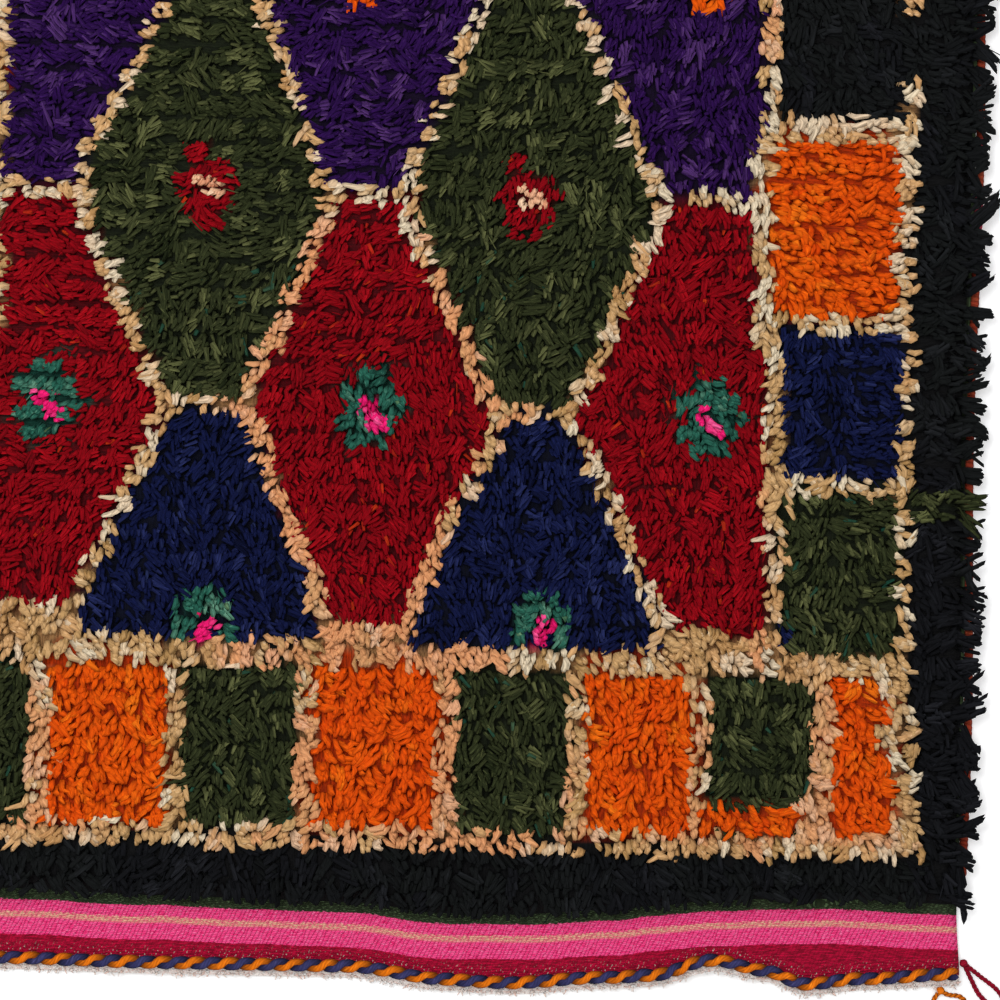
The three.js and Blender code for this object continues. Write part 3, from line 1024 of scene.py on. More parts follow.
@dataclass
class Strands:
    """Many cut yarn ends, each a closed spindle bent over from its knot, in millimetres."""

    root: Array
    azimuth: Array
    reach: Array
    rise: Array
    curl: Array
    bow: Array
    radius: Array
    tone: Array
    tint: Array

    SIDES = 3
    OUT = (0.0, 0.12, 0.60, 1.0)    # handles of a strand's curve outwards, in reaches
    UP = (0.0, 0.86, 1.24, 0.80)    # and upwards, in rises
    # the root's dark is painted shade, where the strands shade each other near their knots
    ROOT_SHARE = 0.75       # how much of a strand has some of the root's dark
    ISLAND = (0.08, 0.84)   # margin and width of an island in its cell of the map

    def kept(self, which: Array) -> "Strands":
        """The strands that `which` picks."""
        return Strands(*(getattr(self, part.name)[which] for part in fields(self)))

    @staticmethod
    def bezier(handles: tuple[float, ...], s: float) -> tuple[float, float]:
        """A cubic Bezier curve through its first and last handle, led by the two between.

        Args:
            handles: four heights.
            s: share of the way along it.

        Returns:
            The curve's height and its rate of change.
        """
        a, b, c, d = handles
        q = 1.0 - s
        rate = 3 * q * q * (b - a) + 6 * q * s * (c - b) + 3 * s * s * (d - c)
        return q**3 * a + 3 * q * q * s * b + 3 * q * s * s * c + s**3 * d, rate

    def centre(self, s: float) -> tuple[Array, Array]:
        """Place and direction of every strand at share s of its length.

        Outwards and upwards the strand is a cubic curve: straight up from its root at first, then
        over to its tip. Sideways it runs off with the square of s and bows out by half a sine.

        Args:
            s: share of the length, from 0 at the knot to 1 at the tip.

        Returns:
            The points and the unit tangents.
        """
        out, out_rate = self.bezier(self.OUT, s)
        up, up_rate = self.bezier(self.UP, s)
        cos_a, sin_a = np.cos(self.azimuth), np.sin(self.azimuth)
        side = self.curl * s * s + self.bow * math.sin(math.pi * s)
        side_rate = self.curl * 2 * s + self.bow * math.pi * math.cos(math.pi * s)
        d, w, z = self.reach * out, self.reach * side, self.rise * up
        dd, dw, dz = self.reach * out_rate, self.reach * side_rate, self.rise * up_rate
        points = self.root + np.stack([d * cos_a - w * sin_a, d * sin_a + w * cos_a, z], axis=1)
        tangent = np.stack([dd * cos_a - dw * sin_a, dd * sin_a + dw * cos_a, dz], axis=1)
        return points, unit(tangent)

    def surface(self, cut: Cut) -> Surface:
        """One surface of all the strands: a root point, a few small rings and a tip each.

        Args:
            cut: where the rings are, and how thick.

        Returns:
            The surface, carrying `section`, `tone`, `tint` and `root`, with one small island of
            its map for each strand.
        """
        count = len(self.root)
        turn = (self.tone - 0.5) * 0.7 - np.pi / 2
        angle = np.arange(self.SIDES) * 2 * np.pi / self.SIDES + turn[:, None]
        cos, sin = np.cos(angle), np.sin(angle)
        length = np.hypot(self.reach, self.rise) * 1.2
        layers = [self.centre(0.0)[0][:, None]]
        sections = [np.zeros((count, 1, 3))]
        for s, swell in zip(cut.stations, cut.swells):
            middle, tangent = self.centre(s)
            across, up = beside(tangent)
            ring = across[:, None] * cos[..., None] + up[:, None] * sin[..., None]
            layers.append(middle[:, None] + ring * (self.radius * swell)[:, None, None])
            run = np.broadcast_to((length * s)[:, None], angle.shape)
            sections.append(np.stack([cos, sin, run], axis=-1))
        layers.append(self.centre(1.0)[0][:, None])
        sections.append(np.concatenate([np.zeros((count, 1, 2)), length[:, None, None]], axis=2))
        points = np.concatenate(layers, axis=1)
        per = points.shape[1]
        shares = np.array([0.0, *np.repeat(cut.stations, self.SIDES), 1.0])

        faces, corners = self._pattern(cut)
        triangles = (faces[None] + (np.arange(count) * per)[:, None, None]).reshape(-1, 3)
        whole = Surface(points.reshape(-1, 3), triangles).carry(
            section=np.concatenate(sections, axis=1).reshape(-1, 3),
            tone=np.repeat(self.tone, per),
            tint=np.repeat(self.tint, per),
            # painted shade towards the root
            root=np.tile(1.0 - smooth(shares / self.ROOT_SHARE), count),
        )
        side = math.ceil(math.sqrt(count))
        cell = np.stack([np.arange(count) % side, np.arange(count) // side], axis=1)
        margin, width = self.ISLAND
        whole.map = ((cell[:, None] + margin + corners[None] * width) / side).reshape(-1, 2)
        return whole

    def _pattern(self, cut: Cut) -> tuple[Array, Array]:
        """Faces of one strand, and the place of each face's corners on its island.

        Args:
            cut: where the rings are.

        Returns:
            Triangles of the strand's own vertices, and three map corners for each.
        """
        n = self.SIDES
        heights = (0.0, *cut.stations, 1.0)
        top = 1 + (len(cut.stations) - 1) * n
        faces, corners = [], []
        for i in range(n):
            after = (i + 1) % n
            u, v = i / n, (i + 1) / n
            faces.append((0, 1 + after, 1 + i))
            corners += [((u + v) / 2, 0.0), (v, heights[1]), (u, heights[1])]
            for k in range(len(cut.stations) - 1):
                a, b = 1 + k * n + i, 1 + k * n + after
                low, high = heights[k + 1], heights[k + 2]
                faces += [(a, b, b + n), (a, b + n, a + n)]
                corners += [(u, low), (v, low), (v, high), (u, low), (v, high), (u, high)]
            faces.append((top + n, top + i, top + after))
            corners += [((u + v) / 2, 1.0), (u, heights[-2]), (v, heights[-2])]
        return np.array(faces), np.array(corners)


@dataclass
class KnottedPile:
    """The long pile, tied in rows across the rug, in one piece for each yarn."""

    shape: RugShape
    pattern: Pattern
    lie: Lie
    seed: int = 20
    rows: int = 60
    row_step: float = 17.7      # from one row's line to the next
    row_spread: float = 0.84    # share of the step that a row's roots are spread over
    step: float = 0.6           # between two places along a row where a strand may be tied
    densest: float = 10.6       # the rug's area for each such place, in square millimetres
    side_inset: float = 3.0
    root: float = 7.2           # height of the roots
    fringe_gap: float = 5.0     # from the tips of the last row to the stripes
    fine: float = 0.05          # share of the strands that are single loose fibres
    knot: float = 10.0          # width of a knot, whose strands lean and shade alike
    knots: int = 8192
    shift: float = 0.37         # how far each row's knots are moved on, in knots
    dome: float = 0.42          # how much lower a knot's outer strands stand
    # fade is painted shade: a knot's outer strands stand lower, in the shade of the rest
    fade: float = 0.2           # how much darker they are
    widest: float = 1.7         # squared distance from a knot's middle where both stop growing
    gather: float = 0.35        # how far strands curl back to their knot; twice that at the rim
    rim: tuple[float, float] = (430.0, 6.0)     # |x| where side tufts begin, and how they ease in
    side_tufts: tuple[float, ...] = (9.5, 5.0, 1.8)     # past the cloth, more on a row, by knot
    side_reach: tuple[float, float] = (5.0, 24.0)       # least and most of a side strand
    guess: float = 12.0         # reach that a yarn is picked by, before it is known
    cover: float = 0.62         # share of the reach where a strand covers the ground
    edge_warp: float = 80.0     # how much of the pile's length bends with a hem
    last_row: float = 528.0     # |y| of the last row's line, about
    bed_y: float = 526.0        # half the length of the bed of knots
    bed_grid: tuple[int, int] = (90, 96)    # points across and along it

    # how much strands vary, by their knot and by chance
    turn: tuple[float, float] = (0.22, 0.09)
    stand: tuple[float, float] = (0.22, 0.18)
    curl: tuple[float, float] = (0.38, 0.17)
    bow: tuple[float, float] = (-0.15, 0.07)
    shade: tuple[float, float] = (0.18, 0.10)

    def __post_init__(self) -> None:
        """Ties every knot of the rug."""
        self.rng = np.random.default_rng(self.seed)
        self.codes, self.strands = self._tie()

    def _bent(self, x: Array, y: Array, mean: float, outer: float, more: float = 0.0) -> Array:
        """Bends the last rows with the hems.

        Args:
            x: places across the rug.
            y: places along it.
            mean: the |y| that comes to lie on the line of the last knots.
            outer: the |y| where the bend is whole.
            more: how far past that line it lies.

        Returns:
            The bent y.
        """
        for end in End:
            bend = np.abs(self.shape.pile_edge(end, x)) + more - mean
            share = smooth((end.value * y - (outer - self.edge_warp)) / self.edge_warp)
            y = y + end.value * bend * share
        return y

    def _rows(self) -> tuple[Array, Array, Array, Array]:
        """Roots of all the strands, row by row, and the row that each belongs to.

        Returns:
            x and y of each root, its row's number and the y of its row's line. Rows near the hems
            bend with them.
        """
        rng = self.rng
        half = self.shape.width / 2 - self.side_inset
        count = int(2 * half / self.step)
        row = np.repeat(np.arange(self.rows), count)
        x = -half + (np.tile(np.arange(count), self.rows) + rng.uniform(0, 1, row.size)) * self.step
        line = (row - (self.rows - 1) / 2) * self.row_step
        y = line + rng.uniform(-0.5, 0.5, row.size) * self.row_step * self.row_spread
        y = y + rng.normal(0, 0.9, row.size) + 1.4 * wander(31, x + row * 913.0, 70.0)
        y = self._bent(x, y, self.row_step * self.rows / 2, self.last_row)
        x = x * (self.shape.side_edge(1, y) - self.side_inset) / half
        return x, y, row, line

    def _tie(self) -> tuple[Array, Strands]:
        """Ties the knots and cuts the strands.

        A strand points along the lie of the pile, turned by its knot and by chance, and its reach
        and rise lie between its yarn's limits. With the squared distance from its knot's middle
        it stands lower, is darker by painted shade, and curls back towards that middle. Past the
        rim its reach is what takes it to the outline of the side tufts.

        Returns:
            The yarn of each strand, and the strands.
        """
        rng = self.rng
        x, y, row, line = self._rows()
        knot = np.floor(x / self.knot + self.shift * row).astype(int)
        off_x = x - (knot + 0.5 - self.shift * row) * self.knot
        off_y = y - line
        spread = (2 * off_x / self.knot) ** 2 + (2 * off_y / self.row_step) ** 2
        spread = np.minimum(spread, self.widest)
        by_knot = rng.normal(0, 1, (5, self.knots))[:, (row * 131 + knot + 300) % self.knots]
        turned, raised, curled, toned, dyed = by_knot
        lie = self.lie.at(x, y)
        lie = lie + 0.22 * wander(41, x + row * 517.0, 45.0) + 0.16 * wander(43, x + y * 2.0, 120.0)
        share = rng.beta(1.25, 1.05, x.size)
        fine = rng.uniform(0, 1, x.size) < self.fine
        level = np.abs(np.cos(lie))
        loose = rng.normal(0, self.turn[1] + 0.10 * level, x.size)
        azimuth = lie + turned * self.turn[0] + loose

        guess = self.guess * (0.35 + share)
        codes = self.pattern.at(
            x + self.cover * guess * np.cos(azimuth), y + self.cover * guess * np.sin(azimuth))
        tufts = [TUFTS[yarn] for yarn in Yarn]
        table = np.array([(t.radius, t.area, *t.reach, *t.rise) for t in tufts])
        radius, area, reach_low, reach_high, rise_low, rise_high = table[codes].T
        rim = smooth((np.abs(x) - self.rim[0]) / self.rim[1])
        kept = rng.uniform(0, 1, x.size) < self.densest / area * (1 + 0.35 * rim)

        reach = reach_low + (reach_high - reach_low) * share + 3.0 * fine
        past = self._past_side(off_y, raised) - np.abs(x)
        past = np.clip(past * (0.84 + 0.2 * share), *self.side_reach)
        reach = reach + (past - reach) * rim
        azimuth = azimuth - 0.6 * rim * np.sin(azimuth) * np.sign(np.cos(azimuth))
        reach = self._held_back(x, y, azimuth, reach)
        height = 0.85 - self.dome * spread + self.stand[0] * raised
        height = np.clip(height + rng.normal(0, self.stand[1], x.size), -0.1, 1.15)
        rise = rise_low + (rise_high - rise_low) * height - 1.0 * smooth((reach - 13.0) / 6.0)
        off = off_y * np.cos(azimuth) - off_x * np.sin(azimuth)
        gather = self.gather + self.gather * rim
        curl = rng.normal(0, self.curl[1] + 0.3 * fine) + self.curl[0] * curled
        curl = np.clip(curl - gather * off / reach, -1.3, 1.3)
        bow = rng.normal(0, self.bow[1], x.size) + self.bow[0] * curled
        pale = codes == Yarn.CREAM.value
        # painted shade: a knot's outer strands are darker, by fade
        tone = 0.66 - self.fade * spread + (self.shade[0] + 0.14 * pale) * toned
        tone = tone + 0.26 * pale * smooth((y + 130.0) / 110.0)
        tone = np.clip(tone + rng.normal(0, self.shade[1], x.size), 0.0, 1.0)
        tint = self._tint(codes, x, y, dyed)
        radius = np.where(fine & (radius < 2.0), 0.5, radius * rng.uniform(0.78, 1.16, x.size))
        root = np.stack([x, y, self.root - 2.2 * rim], axis=1)
        strands = Strands(root, azimuth, reach, rise, curl, bow, radius, tone, tint)
        return codes[kept], strands.kept(kept)

    def _past_side(self, off: Array, by_knot: Array) -> Array:
        """|x| that the tips at the long sides reach: a point at each row, a notch between rows.

        The reach falls with the square of the distance from the row's own line.

        Args:
            off: distance of each root from its row's line.
            by_knot: a number of its knot's own, about 0.

        Returns:
            |x| for each strand.
        """
        between, more, chance = self.side_tufts
        inside = np.clip(1.0 - (2.0 * off / self.row_step) ** 2, 0, 1)
        return self.shape.width / 2 + between + more * inside + chance * by_knot

    def _held_back(self, x: Array, y: Array, azimuth: Array, reach: Array) -> Array:
        """Shortens the strands of the last rows, which end together just short of the stripes.

        Args:
            x: roots across the rug.
            y: roots along it.
            azimuth: direction of each strand.
            reach: how far each strand reaches.

        Returns:
            The reach of each strand.
        """
        level, shortest = 0.2, 1.5
        for end in End:
            limit = np.abs(self.shape.stripes_edge(end, x)) - self.fringe_gap
            limit = limit + 2.0 * wander(45, x, 6.0)
            room = limit - end.value * y
            outward = end.value * np.sin(azimuth)
            over = (outward > level) & (reach * outward > room)
            reach = np.where(over, np.maximum(room / np.maximum(outward, level), shortest), reach)
        return reach

    def _tint(self, codes: Array, x: Array, y: Array, by_knot: Array) -> Array:
        """How far each strand leans to its yarn's second colour, as batches of dyed yarn change.

        The pale yarn leans most in the middle of the near half, on the right border's inner line
        and between the near squares. The other yarns lean in patches, or in single strands.

        Args:
            codes: yarn of each strand.
            x: its place across the rug.
            y: its place along it.
            by_knot: a number of its knot's own, about 0.

        Returns:
            A share from 0 to 1 for each strand.
        """
        rng = self.rng
        patch = smooth(0.5 + 0.9 * wander(51, x + y * 0.4, 38.0) + 0.35 * by_knot)
        column = smooth((np.abs(np.abs(x) - 60) - 70) / -25) * smooth((-y - 5) / 20)
        column = np.maximum(column, smooth((9 - np.abs(x - 288)) / 4))
        column = np.maximum(column, 0.8 * smooth((-y - 360) / 6) * smooth((482 + y) / 6))
        rare = (rng.uniform(0, 1, x.size) < 0.014).astype(float) * rng.uniform(0.2, 0.7, x.size)
        lower = (y < -40) & (rng.uniform(0, 1, x.size) < 0.02)
        leanings = {
            Yarn.CREAM: np.clip(patch * (0.15 + 0.62 * column), 0, 1),
            Yarn.GREEN: lower * 0.6,
            Yarn.ORANGE: 0.7 * patch,
            Yarn.BLACK: 0.25 * patch,
        }
        tint = rare
        for yarn, leaning in leanings.items():
            tint = np.where(codes == yarn.value, leaning, tint)
        return tint

    def build(self, group: bpy.types.NodeTree) -> list[bpy.types.Object]:
        """Makes the pieces: the strands of each yarn, and the bed of knots.

        Args:
            group: the spun-wool node group.

        Returns:
            The pieces.
        """
        made = []
        far = self.strands.root[:, 1] >= 0
        for yarn in Yarn:
            tuft = TUFTS[yarn]
            material = tuft.finish.material(group)
            which = self.codes == yarn.value
            parts = {"": which}
            if yarn is Yarn.BLACK:
                parts = {"_near": which & ~far, "_far": which & far}
            for label, part in parts.items():
                surface = self.strands.kept(part).surface(tuft.cut)
                piece = surface.build(f"pile_{yarn.name.lower()}{label}", material, tuft.slot)
                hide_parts("pile")
                made.append(piece)
        made.append(self._bed())
        return made

    def _bed(self) -> bpy.types.Object:
        """The backs and stems of the knots under the pile, and the lower strands in their shade: one
        low wavy layer.

        Height is a cosine across each row of knots over a flat foot. Its colour is painted shade:
        the darkest of the yarns' darkened bed colours within a knot's width.

        Returns:
            The piece.
        """
        shape, (columns, rows) = self.shape, self.bed_grid
        half = shape.width / 2 - self.side_inset
        across, down = np.linspace(-1, 1, columns), np.linspace(-1, 1, rows)
        x = np.tile(across * half, (rows, 1))
        y = np.tile(down[:, None] * self.bed_y, (1, columns))
        y = self._bent(x, y, self.bed_y, self.bed_y, 4.0)
        x = x * (shape.side_edge(1, y) - self.side_inset) / half
        lie = self.lie.at(x, y)
        # painted shade: each yarn's bed colour is darker than its wool, and the darkest one near is
        # taken
        beds = np.array([TUFTS[yarn].bed for yarn in Yarn])
        r = 6
        near = [
            beds[self.pattern.at(x + r * np.cos(lie) + dx, y + r * np.sin(lie) + dy)]
            for dx, dy in ((0, 0), (r, 0), (-r, 0), (0, r), (0, -r))
        ]
        darkest = np.argmin([c.sum(axis=-1) for c in near], axis=0)
        colors = np.take_along_axis(np.array(near), darkest[None, ..., None], axis=0)[0]
        mean, wave, drift, edge = 10.9, 0.7, 0.8, 14.0
        z = mean + wave * np.cos(2 * np.pi * y / Pattern.ROW)
        z = z + drift * wander(61, x * 3 + y * 5, 19.0)
        foot = shape.thick + shape.clearance * 0.5
        rim = np.minimum((1 - np.abs(across))[None] * shape.width / 2,
                         (1 - np.abs(down))[:, None] * self.bed_y)
        z = foot + (z - foot) * smooth(rim / edge + 0.05)
        bottom = np.stack([x, y, np.full(x.shape, foot)], axis=-1)
        # the carried bed colour is painted shade
        layer = slab(np.stack([x, y, z], axis=-1), bottom).carry(
            dye=np.concatenate([colors.reshape(-1, 3)] * 2),
            level=np.tile(np.abs(np.cos(lie)).ravel(), 2),
        )
        return layer.build("knot_bed", self._bed_material(), "ground_wool")

    def _bed_material(self) -> bpy.types.Material:
        """Matted wool in painted shade: the carried colour, streaked by noise along the lie of the
        pile.

        Returns:
            The material.
        """
        fine, long = 560.0, 0.22
        nodes = MaterialTree("knot_bed_wool")
        x, y, _ = nodes.axes(nodes.node("ShaderNodeTexCoord", {})[3])
        level = nodes.attribute("level")
        stretched = (nodes.vector(x * long, y, 0.0), nodes.vector(x, y * long, 0.0))
        wide, deep = (nodes.noise(vector, fine, 2.0) for vector in stretched)
        mottle = level.times_plus(wide - deep, deep)
        value = nodes.ease(mottle, 0.36, 0.66, 0.5, 1.1)
        return nodes.shade(
            Base_Color=nodes.darkened(nodes.carried("dye"), value),
            Roughness=0.95,
            Normal=nodes.bump(mottle, 0.9, 0.003),
            Specular_IOR_Level=0.2,
        )


# ---------- the ground cloth ----------


def weave_group() -> bpy.types.NodeTree:
    """Weft-faced plain weave: short weft floats over the warps, in slanting ribs.

    Across is measured in warps and Outwards in wefts. Each weft is moved on a little from the
    last. A float's height is the sine over its length times the root of the sine over its width.

    Returns:
        The node group.
    """
    nodes = GroupTree("WeftFacedWeave", {
        "Across": 0.0, "Outwards": 0.0, "Warp": 3.1, "Weft": 1.25, "Slant": 0.19,
    }, (), ("Height", "Gap"))
    got = nodes.got
    weft = got["Outwards"] / got["Weft"]
    moved = nodes.math("FLOOR", weft) * got["Slant"]
    warp = got["Across"] / got["Warp"] + moved
    over, wide = (abs(nodes.math("SINE", way * math.pi)) for way in (warp, weft))
    return nodes.give(Height=over**0.6 * wide**0.5, Gap=nodes.ease(over, 0.50, 0.12))


@dataclass(frozen=True)
class KilimFinish:
    """Stripes of the plain-woven ends, as distances outwards from the last knots."""

    name: str = "ground_weave"
    green: Color = srgb(40, 50, 30)
    green_pale: Color = srgb(84, 104, 70)
    pink: Color = srgb(255, 78, 144)
    pink_deep: Color = srgb(240, 34, 110)
    pink_pale: Color = srgb(255, 140, 184)
    # painted shade of the gaps between the floats
    pink_gap: Color = srgb(176, 14, 84)
    stripe: Color = srgb(236, 186, 148)
    stripe_second: Color = srgb(230, 112, 124)
    dark_red: Color = srgb(192, 4, 56)
    red_deep: Color = srgb(130, 0, 34)
    hem: Color = srgb(255, 248, 242)
    hem_second: Color = srgb(246, 214, 204)
    warp: Color = srgb(240, 226, 210)
    back: Color = srgb(166, 140, 112)
    green_end: float = 0.0
    stripe_at: float = 11.0
    stripe_width: float = 4.6
    pink_end: float = 26.0
    hem_width: float = 8.0
    relief: float = 0.7

    RELIEF_DEPTH = 0.0009
    BLEND = 0.3     # half of the step from one stripe to the next

    def material(self, weave: bpy.types.NodeTree) -> bpy.types.Material:
        """Builds the material on the cloth's carried `weave` value: across, outwards from the
        pile, and inwards from the hem.

        Args:
            weave: the weft-faced weave group.

        Returns:
            The material.
        """
        nodes = MaterialTree(self.name)
        across, out, inset = nodes.axes(nodes.carried("weave"))
        line = nodes.vector(across, out * 0.2, 0.0)
        bent = (nodes.noise(line, 0.016, 2.0) - 0.5).times_plus(5.0, out)
        jitter = nodes.noise(line, 0.21, 2.0).times_plus(5.0, across)
        given = {"Across": jitter, "Outwards": bent}
        height, gap = nodes.node("ShaderNodeGroup", given, node_tree=weave)
        yarn = nodes.vector(across * 0.16, bent * 0.77, 0.0)
        fleck = nodes.noise(yarn, 1.0, 3.0)
        grain = nodes.noise(nodes.vector(across * 0.42, bent, 0.0), 0.9, 2.0)
        edge = (grain - 0.5).times_plus(3.4, bent)

        pink = nodes.mix(nodes.ease(fleck, 0.32, 0.62), self.pink_deep, self.pink)
        pink = nodes.mix(nodes.ease(grain, 0.5, 0.72, 0.0, 0.7), pink, self.pink_pale)
        # painted shade: darker pink in the gaps between the floats
        pink = nodes.mix(gap * nodes.ease(fleck, 0.3, 0.6, 1.0, 0.45), pink, self.pink_gap)
        red = nodes.mix(nodes.ease(fleck, 0.35, 0.65), self.red_deep, self.dark_red)
        pale = nodes.mix(nodes.ease(grain, 0.56, 0.44), self.stripe, self.stripe_second)
        far, half = abs(edge - self.stripe_at), self.stripe_width / 2
        striped = nodes.mix(nodes.ease(far, half + 1.0, half - 1.0, 0.0, 0.85), pink, pale)
        mossy = nodes.ease(nodes.noise(yarn, 2.1, 1.0), 0.56, 0.64)
        color = nodes.mix(mossy, self.green, self.green_pale)
        for begins, stripe in ((self.green_end, striped), (self.pink_end, red)):
            begun = nodes.ease(edge, begins - self.BLEND, begins + self.BLEND)
            color = nodes.mix(begun, color, stripe)
        worn = nodes.noise(nodes.vector(across, bent, 0.0), 0.5, 1.0)
        worn = nodes.ease(inset, 24.0, 14.0, 0.0, 0.9) * nodes.ease(worn, 0.56, 0.62)
        color = nodes.mix(gap * worn, color, self.warp)
        color = nodes.mix(nodes.ease(inset, -0.5, -1.5), color, self.back)
        # painted shade where the weave is low between the floats, and a little painted light on their
        # tops
        color = nodes.darkened(color, height.times_plus(0.46, 0.62))
        hem = nodes.mix(nodes.ease(grain, 0.42, 0.66), self.hem, self.hem_second)
        hemmed = nodes.ease(inset, self.hem_width + 0.5, self.hem_width - 0.5)
        hemmed = hemmed * nodes.ease(inset, -1.5, -0.5)
        return nodes.shade(
            Base_Color=nodes.mix(hemmed, color, hem),
            Roughness=fleck.times_plus(0.12, 0.80),
            Normal=nodes.bump(fleck.times_plus(0.25, height), self.relief, self.RELIEF_DEPTH),
            Specular_IOR_Level=0.12,
            Sheen_Weight=0.05,
            Sheen_Roughness=0.5,
        )


@dataclass
class GroundCloth:
    """The woven ground: one sheet with a striped plain weave and a hem at each short side."""

    shape: RugShape
    finish: KilimFinish = field(default_factory=KilimFinish)
    columns: int = 113
    end_rows: tuple[float, ...] = (0, 1.2, 3, 6, 10, 15, 20, 26, 32, 38, 44, 50, 56, 60, 66)
    middle_rows: int = 9
    rounding: float = 3.0
    edge_drop: float = 1.2

    UNDER = -5.0    # what the underside carries in place of its distance from the hem

    def build(self, weave: bpy.types.NodeTree) -> bpy.types.Object:
        """Makes the cloth: a grid between the two hems and sides, with a rounded hem edge.

        Args:
            weave: the weft-faced weave group.

        Returns:
            The piece.
        """
        shape = self.shape
        across = np.linspace(-1, 1, self.columns)
        x_mean = across * shape.width / 2
        near, far = (shape.hem_edge(end, x_mean) for end in End)
        inner = shape.length / 2 - self.end_rows[-1]
        middle = np.linspace(-inner, inner, self.middle_rows + 2)[1:-1]
        rows = [near + d for d in self.end_rows]
        rows += [np.full(self.columns, y) for y in middle]
        rows += [far - d for d in reversed(self.end_rows)]
        y = np.array(rows)
        x = across * np.where(across < 0, shape.side_edge(-1, y), shape.side_edge(1, y))
        lift = shape.lift(x, y)
        inset = np.minimum(far - y, y - near)
        rim = self.edge_drop * (1 - smooth(inset / self.rounding))
        top = np.stack([x, y, lift + shape.thick - rim], axis=-1)
        bottom = np.stack([x, y, lift + rim * 0.6], axis=-1)
        near, far = (shape.stripes_edge(end, x_mean) for end in End)
        outwards = np.maximum(np.where(y < 0, near - y, y - far), -20.0)
        place = np.stack([x, outwards, np.minimum(inset, 60.0)], axis=-1).reshape(-1, 3)
        under = np.stack([x, y, np.full(x.shape, self.UNDER)], axis=-1).reshape(-1, 3)
        sheet = slab(top, bottom).carry(weave=np.concatenate([place, under]))
        piece = sheet.build("ground_cloth_woven", self.finish.material(weave), "ground_wool")
        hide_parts("ground_cloth")
        return piece


# ---------- cords, selvages and loose ends ----------


@dataclass(frozen=True)
class TwoPly:
    """Two plies that wind round each other: the sizes of one, and how it winds."""

    radius: float
    offset: float           # from the path to the middle of a ply
    pitch: float            # length of one full turn
    sides: int
    squash: float = 1.0     # height of the winding over its width

    PLUNGE = 0.38           # how much faster a ply crosses over the top and under
    FADE = (0.35, 4.0)      # thickness at the very end, and the length over which it grows

    def wind(self, path: Array, start: float) -> list[Surface]:
        """Winds the plies round a path: each is the path plus a turning arm.

        The arm is offset * (across * cos(a) + up * squash * sin(a)), where a falls by a full turn
        for each pitch along the path. Both plies carry `tone` and `tint`, and `root`, which sets
        painted shade, is 1 where the ply runs underneath the other.

        Args:
            path: stations by 3.
            start: angle at the path's first station.

        Returns:
            The two plies.
        """
        tangent, run = along(path)
        across, up = beside(tangent)
        thin, grown = self.FADE
        fade = np.minimum(1.0, thin + np.minimum(run, run[-1] - run) / grown)
        plies = []
        for k in range(2):
            a = start - 2 * np.pi * run / self.pitch + k * np.pi
            a = a - self.PLUNGE * np.sin(2 * a)
            arm = across * np.cos(a)[:, None] + up * (np.sin(a) * self.squash)[:, None]
            size = self.radius * (1 + 0.07 * wander(71 + k, run, 9.0))
            # painted shade: 1 where this ply runs under the other
            under = np.repeat(smooth((0.55 - np.sin(a)) / 1.1), self.sides)
            ply = tube(path + arm * self.offset, size * fade, self.sides)
            plies.append(ply.carry(tone=0.45 + 0.1 * k, tint=0.0,
                                   root=np.concatenate([under, under[[0, -1]]])))
        return plies


@dataclass
class EndCord:
    """The orange and navy cord twined across one end, over the hem."""

    shape: RugShape
    end: End
    inset: float = 9.2
    end_gap: float = 3.0
    middle: float = 3.5
    winding: TwoPly = TwoPly(2.75, 2.25, 25.0, 8, 0.7)
    stations: int = 421

    # groove and root set painted shade: in the grooves between plies, and where a ply runs under the
    # other
    ORANGE = WoolFinish("cord_orange_wool", srgb(196, 84, 6), srgb(232, 118, 16), srgb(244, 150, 44),
                        srgb(214, 92, 10), twist=0.3, plies=3.0, groove=0.26, root=0.8, fibre=0.6)
    NAVY = WoolFinish("cord_navy_wool", srgb(34, 36, 72), srgb(56, 56, 100), srgb(84, 84, 128),
                      srgb(50, 52, 96), twist=0.3, plies=3.0, groove=0.26, root=0.8, fibre=0.6)

    def build(self, materials: tuple[bpy.types.Material, bpy.types.Material]
              ) -> list[bpy.types.Object]:
        """Makes the two plies of the cord, each a piece.

        Args:
            materials: the orange and the navy finish.

        Returns:
            The two pieces.
        """
        name, sign, shape = self.end.label, self.end.value, self.shape
        half = shape.width / 2 + shape.end_flare - self.end_gap
        x = np.linspace(-half, half, self.stations)
        y = shape.hem_edge(self.end, x) - sign * self.inset
        z = shape.lift(x, y) + shape.thick + shape.clearance + self.middle
        plies = self.winding.wind(np.stack([x, y, z], axis=1), 0.6 * sign)
        made = []
        for ply, material, color in zip(plies, materials, ("orange", "navy")):
            piece = ply.build(f"end_cord_{name}_{color}", material, "cord_wool")
            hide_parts(f"end_cord_{name}")
            made.append(piece)
        return made


